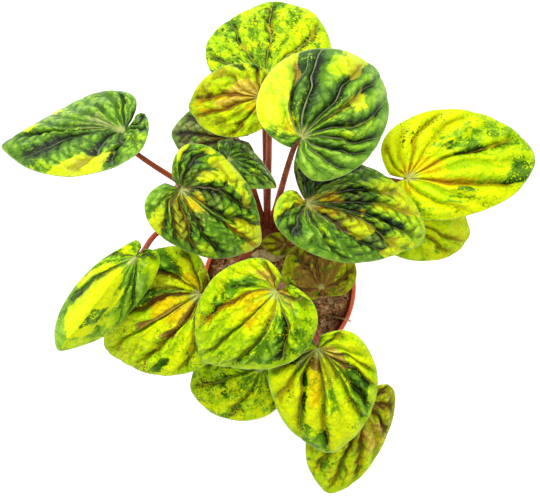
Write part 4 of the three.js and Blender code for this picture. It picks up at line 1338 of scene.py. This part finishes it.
# %% [markdown]
# The underside is duller and paler, with the veins standing out reddish, like the stalks they run on from.
# A valley of the upper face is a ridge here, so the painted shade changes places: darker where the upper
# face has its crests, paler where it has its valleys.

# %% The underside
UNDERSIDE_TONE = {"Valley": (150, 168, 96), "Flank": (132, 160, 84), "Crest": (104, 136, 62)}
UNDERSIDE_VEINS = (158, 92, 62)


def underside_material():
    material, tree, shader = new_material("leaf_underside", 0.6, 0.3)
    grain = use_group(tree, GRAIN, {"Strength": 1.2})
    shade = push(tree, read_attribute(tree, "shade"), grain["Tint"], 1.0)
    tone = {title: paint(*colour) for title, colour in UNDERSIDE_TONE.items()}
    colour = use_group(tree, TISSUE_AND_SHADE, {"Shade": shade, **tone})["Color"]
    veins = use_group(tree, VEINS, {"Half width": 0.55})
    colour = lay_share(tree, colour, veins["Mask"], 0.7, UNDERSIDE_VEINS)
    finish_skin(tree, shader, colour, grain["Relief"], 0.5, 0.2)
    return material


UNDERSIDE = underside_material()

# %% [markdown]
# Each blade is built, turned face up, painted and thickened in one go, and keeps the name of its leaf.

# %% Make all the blades
for order, leaf_name in enumerate(LEAVES):
    blade = build_blade(leaf_name)
    face_up(blade, blade_matrix(LEAVES[leaf_name]).to_3x3() @ Vector((0, 0, 1)))
    bpy.ops.object.shade_smooth()
    blade.data.materials.append(leaf_material(leaf_name, order))
    blade.data.materials.append(UNDERSIDE)
    add_modifier(blade, "SOLIDIFY", thickness=SHEET_THICKNESS * MM, offset=-1, material_offset=1)
    settle(blade, leaf_name + "_blade", leaf_name)

# %% [markdown]
# ## The pot
# A nursery pot is moulded in one thin wall: a tapered body, a step outwards to a straight collar, and a
# rolled lip. It is the same all the way round, so its outline is traced once: a ring of edges is added at
# the foot and then extruded and widened from corner to corner of the outline, up the outside and down the
# inside. The corners are bevelled afterwards, because no moulded edge is sharp.

# %% Rings along an outline
def trace_rings(profile, sides):
    """A ring of edges extruded from corner to corner of a profile of radius and height, in mm."""
    select_only()
    radius, height = profile[0]
    bpy.ops.mesh.primitive_circle_add(vertices=sides, radius=radius * MM, location=(0, 0, 0))
    ring = bpy.context.object
    edit_mesh(ring)
    bpy.ops.transform.translate(value=(0, 0, height * MM))
    for next_radius, next_height in profile[1:]:
        up = (0, 0, (next_height - height) * MM)
        bpy.ops.mesh.extrude_region_move(TRANSFORM_OT_translate={"value": up})
        share = next_radius / radius
        bpy.ops.transform.resize(value=(share, share, 1), center_override=(0, 0, 0))
        radius, height = next_radius, next_height
    return ring


def close_ring(piece, height):
    """Fills the open ring of edges that lies at a height, in mm."""
    bpy.ops.mesh.select_all(action="DESELECT")
    bpy.ops.object.mode_set(mode="OBJECT")
    uses = {}
    for polygon in piece.data.polygons:
        for key in polygon.edge_keys:
            uses[key] = uses.get(key, 0) + 1
    for edge in piece.data.edges:
        level = all(abs(piece.data.vertices[v].co.z - height * MM) < 0.01 * MM for v in edge.vertices)
        edge.select = level and uses.get(edge.key, 0) < 2
    bpy.ops.object.mode_set(mode="EDIT")
    bpy.ops.mesh.select_mode(type="EDGE")
    bpy.ops.mesh.edge_face_add()
    bpy.ops.mesh.select_mode(type="VERT")


# %% Shape the pot
POT_TAPER = ((28.5, 0), (37.4, 57))
POT_COLLAR = 38.6
POT_PROFILE = [
    (27.3, 0), (28.7, 1.2), (37.4, 57), (38.9, 58.2), (38.9, 67.4), (40, 68.1), (40, 69.3), (39.2, 70),
    (38, 70), (37.5, 69.3), (37.5, 58.2), (36, 57), (27.4, 1.8),
]
POT_SIDES = 128
MOULD_ROUNDING = 0.22

pot = trace_rings(POT_PROFILE, POT_SIDES)
close_ring(pot, POT_PROFILE[0][1])
close_ring(pot, POT_PROFILE[-1][1])
turn_faces_out()
add_modifier(pot, "BEVEL", width=MOULD_ROUNDING * MM, segments=2, limit_method="ANGLE",
             angle_limit=math.radians(20))
print("pot:", len(pot.data.polygons), "faces")

# %% [markdown]
# The floor of the pot has a ring of round drain holes. Cutting them with the boolean modifier leaves clean
# edges: all six cutters are one mesh, which is deleted once the cut is applied.

# %% Cut the drain holes
DRAIN_HOLES = 6
DRAIN_HOLE_RADIUS = 3
DRAIN_RING_RADIUS = 18.5
CUTTER_HEIGHT = 10


def drain_cutter():
    select_only()
    cutters = []
    for hole in range(DRAIN_HOLES):
        angle = 2 * math.pi * hole / DRAIN_HOLES
        centre = Vector((math.cos(angle), math.sin(angle), 0)) * DRAIN_RING_RADIUS * MM
        bpy.ops.mesh.primitive_cylinder_add(
            vertices=32, radius=DRAIN_HOLE_RADIUS * MM, depth=CUTTER_HEIGHT * MM, location=centre)
        cutters.append(bpy.context.object)
    select_only(*cutters)
    bpy.ops.object.join()
    return bpy.context.object


cutter = drain_cutter()
add_modifier(pot, "BOOLEAN", object=cutter, operation="DIFFERENCE", solver="EXACT")
bpy.data.objects.remove(cutter)
select_only(pot)
bpy.ops.object.shade_smooth_by_angle(angle=math.radians(35))
print("pot with its holes:", len(pot.data.polygons), "faces")

# %% [markdown]
# The plastic is a dull terracotta red, mottled, with specks of earth dried onto it. Inside, it is almost
# black. The outer wall's radius at any height is known, so a point that lies more than half a millimetre
# inwards of it is on the inner face.

# %% Pot plastic
INNER_EDGE = (0.5, 1.0)
PLASTIC = ((224, 82, 46), (252, 122, 80))
INNER_PLASTIC = ((22, 14, 10), (58, 34, 24))
DRIED_EARTH = (120, 66, 40)


def from_axis(tree, axes):
    squares = [calculate(tree, "POWER", axes[number], 2.0) for number in (0, 1)]
    return calculate(tree, "SQRT", calculate(tree, "ADD", *squares))


def plastic_material():
    material, tree, shader = new_material("terracotta_plastic", 0.5, 0.35)
    place = place_on_piece(tree)
    axes = add_node(tree, "SeparateXYZ", {0: place}).outputs
    (low_radius, low), (high_radius, high) = POT_TAPER
    slope = (high_radius - low_radius) / (high - low)
    wall = calculate(tree, "MULTIPLY_ADD", axes[2], slope, low_radius * MM)
    wall = calculate(tree, "MINIMUM", wall, POT_COLLAR * MM)
    inwards = calculate(tree, "SUBTRACT", wall, from_axis(tree, axes))
    # A mask for the inner face, which is painted almost black.
    inner_face = smooth_step(tree, inwards, *(edge * MM for edge in INNER_EDGE))
    mottle = noise_on(tree, place, 180.0, 4.0, 0.6)
    clean = blend_colours(tree, mottle, *(paint(*colour) for colour in PLASTIC))
    specks = smooth_step(tree, noise_on(tree, place, 420.0, 5.0, 0.7), 0.56, 0.66)
    clean = lay_share(tree, clean, specks, 0.55, DRIED_EARTH)
    dark = blend_colours(tree, mottle, *(paint(*colour) for colour in INNER_PLASTIC))
    finish_skin(tree, shader, blend_colours(tree, inner_face, clean, dark), mottle, 0.4, 0.3)
    return material


pot.data.materials.append(plastic_material())
settle(pot, "pot_body", "pot")

# %% [markdown]
# ## The soil
# Potting mix is coconut fibre and bark: a dark crumbly bed with chips of all sizes lying on it and a few
# loose fibres. The bed is traced like the pot, with many rings on its top that a cloud of noise then
# roughens. The chips are a handful of small lumps, repeated at seeded places; each has only a few faces,
# because there are many hundreds.

# %% Soil bed
SOIL_FOOT = 2.1
SOIL_TOP = 60
SOIL_EDGE = 37.1
SOIL_RINGS = 40
SOIL_SIDES = 144
SOIL_ROUGHNESS = (1.275, 0.35)


def soil_height(x, y):
    """Height of the bed at a place, all in mm."""
    broad = noise.fractal(Vector((x, y, 3.0)) * 0.11, 1.0, 2.0, 3)
    fine = noise.fractal(Vector((x, y, 9.0)) * 0.5, 0.8, 2.1, 3)
    return SOIL_TOP + SOIL_ROUGHNESS[0] * broad + SOIL_ROUGHNESS[1] * fine


soil_profile = [(27, SOIL_FOOT), (35.6, 57), (SOIL_EDGE, 58.4)]
soil_profile += [(SOIL_EDGE * (1 - ring / SOIL_RINGS), SOIL_TOP) for ring in range(SOIL_RINGS)]
bed = trace_rings(soil_profile, SOIL_SIDES)
close_ring(bed, SOIL_FOOT)
close_ring(bed, SOIL_TOP)
turn_faces_out()
for vertex in bed.data.vertices:
    if vertex.co.z > (SOIL_TOP - 0.1) * MM:
        vertex.co.z = soil_height(vertex.co.x / MM, vertex.co.y / MM) * MM
bpy.ops.object.shade_smooth()
print("bed:", len(bed.data.polygons), "faces")

# %% [markdown]
# One way to make a crumb: a small ball of few faces, flattened, with its corners pushed about. Crumbs that
# differ in proportion read as bark, fibre lumps and grit.

# %% Shapes of the crumbs
CRUMB_KINDS = {"bark": (1.0, 0.5, 0.22), "lump": (0.8, 0.65, 0.5), "sliver": (1.0, 0.22, 0.14)}
CRUMBS_OF_A_KIND = 4
CRUMB_UNEVENNESS = 0.28


def crumb_shape(kind, seed):
    chance = random.Random(f"{kind}{seed}")
    select_only()
    bpy.ops.mesh.primitive_ico_sphere_add(subdivisions=1 if kind == "sliver" else 2, radius=1)
    crumb = bpy.context.object
    corners = []
    for vertex in crumb.data.vertices:
        pushed = 1 + chance.uniform(-CRUMB_UNEVENNESS, CRUMB_UNEVENNESS)
        corners.append([c * pushed * s for c, s in zip(vertex.co, CRUMB_KINDS[kind])])
    faces = [list(polygon.vertices) for polygon in crumb.data.polygons]
    bpy.data.objects.remove(crumb)
    return np.array(corners), np.array(faces)


crumb_shapes = [crumb_shape(kind, seed) for kind in CRUMB_KINDS for seed in range(CRUMBS_OF_A_KIND)]
print("crumb shapes:", len(crumb_shapes))


# %% [markdown]
# Every crumb gets a place on the bed, a few turns, a size and a tint. Small ones are many and large ones
# few, as in anything crumbled. The largest chips have places of their own.

# %% Scatter the crumbs
CRUMB_COUNT = 2300
CRUMB_REACH = 36
LEAST_CRUMB, MOST_CRUMB = 0.38, 2.1
CRUMB_TILT = 0.5
LARGE_CHIPS = [
    ((-6, 16.5), 7.5, 0.1), ((-20, 14), 3.6, 0.9), ((27, -8), 1.7, 2.2), ((24, -20), 2.2, 0.6),
    ((31, 4), 1.8, 1.4), ((12, 14), 3.4, 2.6), ((-2, -24), 4, 0.4), ((-27, -12), 3.6, 1.9),
    ((19, 24), 3.4, 1.1),
]


def small_crumb(chance):
    """A shape's number, and a crumb's place, turns, size and tint."""
    reach = CRUMB_REACH * math.sqrt(chance.random())
    angle = chance.uniform(0, 2 * math.pi)
    x, y = reach * math.cos(angle), reach * math.sin(angle)
    size = min(MOST_CRUMB, LEAST_CRUMB * chance.random() ** -0.4)
    tilts = [chance.uniform(-CRUMB_TILT, CRUMB_TILT) for _ in "xy"]
    turns = (*tilts, chance.uniform(0, ANY_PHASE))
    place = (x, y, soil_height(x, y) + 0.15 * size)
    return chance.randrange(len(crumb_shapes)), place, turns, size, chance.random()


def large_chip(number):
    (x, y), size, angle = LARGE_CHIPS[number]
    place = (x, y, soil_height(x, y) + 0.9)
    return number % CRUMBS_OF_A_KIND, place, (0.12, -0.15, angle), size, 0.62 - 0.04 * number


def scatter(name, shapes, placements):
    """One mesh of many crumbs."""
    corners, faces, tints, count = [], [], [], 0
    for which, place, turns, size, tint in placements:
        shape, shape_faces = shapes[which]
        turn = Matrix.Rotation(turns[2], 3, "Z") @ Matrix.Rotation(turns[1], 3, "Y")
        turn = np.array(turn @ Matrix.Rotation(turns[0], 3, "X"))
        corners.append((shape * size) @ turn.T + np.array(place))
        faces.append(shape_faces + count)
        tints.append(np.full(len(shape), tint))
        count += len(shape)
    mesh = bpy.data.meshes.new(name)
    mesh.from_pydata((np.concatenate(corners) * MM).tolist(), [], np.concatenate(faces).tolist())
    add_values(mesh, "tint", np.concatenate(tints))
    piece = bpy.data.objects.new(name, mesh)
    bpy.context.scene.collection.objects.link(piece)
    return piece


chance = random.Random("potting mix")
placements = [small_crumb(chance) for _ in range(CRUMB_COUNT)]
placements += [large_chip(number) for number in range(len(LARGE_CHIPS))]
crumbs = scatter("soil_crumbs", crumb_shapes, placements)
print("crumbs:", len(placements))

# %% [markdown]
# Fibres, roots and stalks are all round threads. A curve object may hold many threads at once: each gets a
# few points with a thickness of their own, the curve's bevel makes them round, and the whole is turned into
# mesh. A fibre's points wander from a starting place over the bed.

# %% Threads
THREAD_SIDES = 8
THREAD_END = 0.35


def round_threads(name, paths, radius, sides):
    """Round threads as one mesh. A path is a list of places in mm, each with its share of the radius."""
    curve = bpy.data.curves.new(name, "CURVE")
    curve.dimensions = "3D"
    curve.bevel_depth = radius * MM
    curve.bevel_resolution = sides // 4 - 1
    curve.use_fill_caps = True
    for path in paths:
        spline = curve.splines.new("POLY")
        spline.points.add(len(path) - 1)
        for point, (place, share) in zip(spline.points, path):
            point.co = (*(Vector(place) * MM), 1)
            point.radius = share
    piece = bpy.data.objects.new(name, curve)
    bpy.context.scene.collection.objects.link(piece)
    select_only(piece)
    bpy.ops.object.convert(target="MESH")
    return bpy.context.object


def tapered(places):
    """Gives each place its thickness, so that the thread is thin at both ends."""
    path = []
    for number, place in enumerate(places):
        share = number / (len(places) - 1)
        middle = math.sin(math.pi * min(max(share, 0.05), 0.95)) ** 0.5
        path.append((place, THREAD_END + (1 - THREAD_END) * middle))
    return path


# %% Fibres on the soil
FIBRE_COUNT = 150
FIBRE_STEPS = 12
FIBRE_RADIUS = 0.13
FIBRE_LENGTHS = (5, 16)
FIBRE_LIFTS = (0.2, 2.2)
FIBRE_START = 35
FIBRE_REACH = 36.3
FIBRE_WANDER = 0.45


def fibre_places(chance, x, y, heading, length, lift):
    places = []
    for step in range(FIBRE_STEPS + 1):
        share = step / FIBRE_STEPS
        reach = math.hypot(x, y)
        if reach > FIBRE_REACH:
            x, y = x * FIBRE_REACH / reach, y * FIBRE_REACH / reach
        places.append((x, y, soil_height(x, y) + 0.3 + lift * math.sin(math.pi * share)))
        heading += chance.uniform(-FIBRE_WANDER, FIBRE_WANDER)
        x += length / FIBRE_STEPS * math.cos(heading)
        y += length / FIBRE_STEPS * math.sin(heading)
    return places


fibre_paths = []
for _ in range(FIBRE_COUNT):
    angle = chance.uniform(0, ANY_PHASE)
    reach = FIBRE_START * math.sqrt(chance.random())
    heading, length = chance.uniform(0, ANY_PHASE), chance.uniform(*FIBRE_LENGTHS)
    lift = chance.uniform(*FIBRE_LIFTS)
    x, y = reach * math.cos(angle), reach * math.sin(angle)
    fibre_paths.append(tapered(fibre_places(chance, x, y, heading, length, lift)))
fibres = round_threads("soil_fibres", fibre_paths, FIBRE_RADIUS, THREAD_SIDES)
print("fibres:", len(fibre_paths))

# %% [markdown]
# One root strand is thicker than the fibres. It rises from the soil, leans on the inner wall and hangs over
# the lip.

# %% Strand over the rim
RIM_STRAND_RADIUS = 0.5
RIM_STRAND = [
    (23.5, -14.6, 61.6), (27, -15.6, 63), (30, -16, 66.2), (32.3, -16.3, 69.6), (34.2, -16.7, 70.9),
    (36.4, -17.4, 70.8), (37.2, -17.9, 70.3),
]
rim_strand = round_threads("soil_rim_strand", [tapered(RIM_STRAND)], RIM_STRAND_RADIUS, THREAD_SIDES)
print("rim strand:", len(RIM_STRAND), "points")

# %% [markdown]
# Earth is light and dark in lumps, with a fine noise over them. In the bed and the fibres the lumps are a
# broad noise. Each crumb carries a tint of its own instead, so that neighbours differ, and it decides
# between wet bark, dry bark and grit.

# %% Earth and fibre paint
FINE_EARTH_SCALE = 700.0
BROAD_EARTH_SCALE = 150.0
EARTH_CONTRAST = (0.28, 0.72)


def earth_material(name, dark, light, per_crumb=False):
    material, tree, shader = new_material(name, 0.85, 0.2)
    place = place_on_piece(tree)
    fine = noise_on(tree, place, FINE_EARTH_SCALE, 5.0, 0.65)
    if per_crumb:
        share = push(tree, read_attribute(tree, "tint"), fine, 0.8)
    else:
        share = push(tree, noise_on(tree, place, BROAD_EARTH_SCALE, 3.0, 0.6), fine, 0.9)
    colour = blend_colours(tree, smooth_step(tree, share, *EARTH_CONTRAST), paint(*dark), paint(*light))
    finish_skin(tree, shader, colour, fine, 0.8, 0.6)
    return material


coir = earth_material("coir_fibre", (150, 100, 64), (230, 186, 136))
for piece, name, material in (
    (bed, "soil_bed", earth_material("earth_bed", (64, 37, 24), (240, 172, 116))),
    (crumbs, "soil_crumbs", earth_material("earth_crumbs", (112, 62, 38), (255, 226, 172), per_crumb=True)),
    (fibres, "soil_fibres", coir),
    (rim_strand, "soil_rim_strand", coir),
):
    piece.data.materials.append(material)
    settle(piece, name, "soil")

# %% [markdown]
# ## Crowns and leaf stalks
# All leaves of a crown rise from one short thick stem base, and each stalk arches outwards and up until it
# meets its blade square from below. The frame's stalks follow a smooth curve through a few points; the same
# curve is computed here at closer steps, and round threads turn it into stalks that are thick at their
# foot, slim above, and swell a little again where they join their blade.

# %% Points on the way of a stalk
CROWNS = {"main": dict(x=-6, y=27, radius=6, top=71), "side": dict(x=9, y=-10, radius=4.6, top=70)}
SIDE_CROWN = ["leaf_front_middle", "leaf_front_small", "leaf_front_right", "leaf_front_low", "leaf_low_brown"]
STALK_WAYPOINTS = {
    "leaf_far_right": [(46, 53, 113)], "leaf_front_middle": [(1, -9, 100)],
    "leaf_front_left": [(-24, 10, 104)], "leaf_front_folded": [(-30, 22, 96), (-56, 28, 126)],
}
STALK_RADIUS_LOW = 1.9
STALK_RADIUS_HIGH = 1.25
ROOT_HEIGHT = 3
FACE_TO_STALK = 0.3
FACE_TO_FRAME_STALK = 1.4
STRAIGHT_END = (9, 3)


def stalk_points(name):
    """The few points that a stalk passes: in its crown, at the crown's shoulder, and square to its blade."""
    leaf = LEAVES[name]
    crown = CROWNS["side" if name in SIDE_CROWN else "main"]
    up = (blade_matrix(leaf).to_3x3() @ Vector((0, 0, 1))).normalized()
    at = Vector(leaf["at"])
    outwards = Vector((at.x - crown["x"], at.y - crown["y"], 0)).normalized()
    root = Vector((crown["x"], crown["y"], SOIL_TOP + ROOT_HEIGHT)) + outwards * crown["radius"] * 0.35
    shoulder = Vector((crown["x"], crown["y"], crown["top"] - 2)) + outwards * crown["radius"] * 0.9
    end = at - up * (FACE_TO_STALK + leaf["fold"] * STALK_RADIUS_HIGH)
    frame_end = at - up * (FACE_TO_FRAME_STALK + leaf["fold"] * STALK_RADIUS_HIGH)
    via = [Vector(place) for place in STALK_WAYPOINTS.get(name, [])]
    return [root, shoulder, *via, *(frame_end - up * before for before in STRAIGHT_END), end]


# %% [markdown]
# A curve object's own handles would have to be placed by hand. A centripetal curve finds its direction at
# each point from the points beside it, and never loops. Its places are then spread evenly along it, so that
# the stalk's thickness can follow the share of its length.

# %% A smooth curve through points
def smooth_curve(points, steps):
    """A centripetal curve through points: it passes them all without loops."""
    ends = [2 * points[0] - points[1], *points, 2 * points[-1] - points[-2]]
    places = []
    for index in range(1, len(ends) - 2):
        before, first, second, after = ends[index - 1:index + 3]
        pairs = ((before, first), (first, second), (second, after))
        gaps = [max((b - a).length ** 0.5, 1e-6) for a, b in pairs]
        lead = ((first - before) / gaps[0] - (second - before) / (gaps[0] + gaps[1])
                + (second - first) / gaps[1]) * gaps[1]
        trail = ((second - first) / gaps[1] - (after - first) / (gaps[1] + gaps[2])
                 + (after - second) / gaps[2]) * gaps[1]
        for step in range(steps):
            t = step / steps
            places.append(first * (2 * t**3 - 3 * t**2 + 1) + lead * (t**3 - 2 * t**2 + t)
                          + second * (3 * t**2 - 2 * t**3) + trail * (t**3 - t**2))
    places.append(points[-1])
    return places


def even_steps(places, steps):
    """Points at even distances along a chain of points, and the chain's length."""
    lengths = np.concatenate([[0], np.cumsum([(b - a).length for a, b in zip(places, places[1:])])])
    at = np.linspace(0, 1, steps + 1) * lengths[-1]
    table = np.array(places)
    return np.stack([np.interp(at, lengths, table[:, axis]) for axis in range(3)], -1), lengths[-1]


# %% [markdown]
# A stalk tapers from its foot upwards. It swells where it leaves the crown, and a little where it meets its
# blade, except on the folded leaf, whose stalk ends inside the fold.

# %% Stalks of a crown
CURVE_STEPS = 24
STALK_STEPS = 44
STALK_SIDES = 16
YOUNG_STALK = 0.7
FOOT_SWELLING, FOOT_LENGTH = 0.9, 5
JOINT_SWELLING, JOINT_LENGTH = 0.35, 2.2


def stalk_path(name):
    chain, length = even_steps(smooth_curve(stalk_points(name), CURVE_STEPS), STALK_STEPS)
    slim = YOUNG_STALK if name == "leaf_young" else 1.0
    path = []
    for step, place in enumerate(chain):
        share = step / STALK_STEPS
        radius = STALK_RADIUS_LOW + (STALK_RADIUS_HIGH - STALK_RADIUS_LOW) * min(share * 1.15, 1)
        foot = FOOT_SWELLING * math.exp(-share * length / FOOT_LENGTH)
        joint = JOINT_SWELLING * math.exp(-(1 - share) * length / JOINT_LENGTH)
        joint = 0 if LEAVES[name]["fold"] else joint
        path.append((place, (radius + foot + joint) * slim))
    return path


def stalks(crown_name):
    names = [name for name in LEAVES if (name in SIDE_CROWN) == (crown_name == "side")]
    piece = round_threads("stalks", [stalk_path(name) for name in names], 1, STALK_SIDES)
    bpy.ops.object.shade_smooth()
    return piece


# %% [markdown]
# The stem base itself is a short stump, ringed with the scars and dry sheaths of leaves that have gone. Its
# outline steps in and out at each scar. It is traced like the pot, rounded by a subdivision and made uneven
# with noise.

# %% Stem bases
STEM_FOOT = 46.3
STEM_SIDES = 40
STEM_UNEVENNESS = 0.09
STEM_SCARS = [
    (1, 58), (1.04, 60), (1, 62), (0.98, 63.4), (0.9, 64.2), (0.95, 65.6), (0.84, 66.4), (0.86, 67.8),
    (0.72, 68.8),
]


def stem_base(crown):
    radius, top = crown["radius"], crown["top"]
    profile = [(radius * 0.7, STEM_FOOT), (radius, STEM_FOOT + 2)]
    profile += [(radius * share, height) for share, height in STEM_SCARS]
    profile += [(radius * 0.66, top - 1), (radius * 0.5, top)]
    piece = trace_rings(profile, STEM_SIDES)
    close_ring(piece, STEM_FOOT)
    close_ring(piece, top)
    turn_faces_out()
    add_modifier(piece, "SUBSURF", levels=1)
    for vertex in piece.data.vertices:
        around = 1 + STEM_UNEVENNESS * noise.fractal(vertex.co / MM * 0.35, 0.9, 2.0, 3)
        vertex.co.x *= around
        vertex.co.y *= around
    piece.location = (crown["x"] * MM, crown["y"] * MM, 0)
    bpy.ops.object.shade_smooth()
    return piece


# %% [markdown]
# Stalks are smooth, dull and brownish red, with paler and darker flecks in them. Near the soil they and the
# stem bases are darker.

# %% Stalk skin
STALK_COLOURS = ((112, 38, 20), (192, 92, 52))
STALK_NEAR_SOIL = (78, 44, 30)
NEAR_SOIL_HEIGHTS = (62, 84)


def stalk_material():
    material, tree, shader = new_material("stalk_skin", 0.5, 0.25)
    place = place_on_piece(tree)
    fine = noise_on(tree, place, 900.0, 4.0, 0.6)
    broad = noise_on(tree, place, 120.0, 3.0, 0.6)
    share = smooth_step(tree, push(tree, broad, fine, 0.8), 0.2, 0.8)
    colour = blend_colours(tree, share, *(paint(*shade) for shade in STALK_COLOURS))
    height = add_node(tree, "SeparateXYZ", {0: place}).outputs[2]
    # Darker towards the soil.
    low = smooth_step(tree, height, *(at * MM for at in NEAR_SOIL_HEIGHTS), 1.0, 0.0)
    colour = lay_share(tree, colour, low, 0.65, STALK_NEAR_SOIL)
    finish_skin(tree, shader, colour, broad, 0.3, 0.5)
    return material


stalk_skin = stalk_material()
for crown_name, crown in CROWNS.items():
    for part, piece in (("base", stem_base(crown)), ("stalks", stalks(crown_name))):
        piece.data.materials.append(stalk_skin)
        settle(piece, f"stem_{crown_name}_{part}", "stem_" + crown_name)
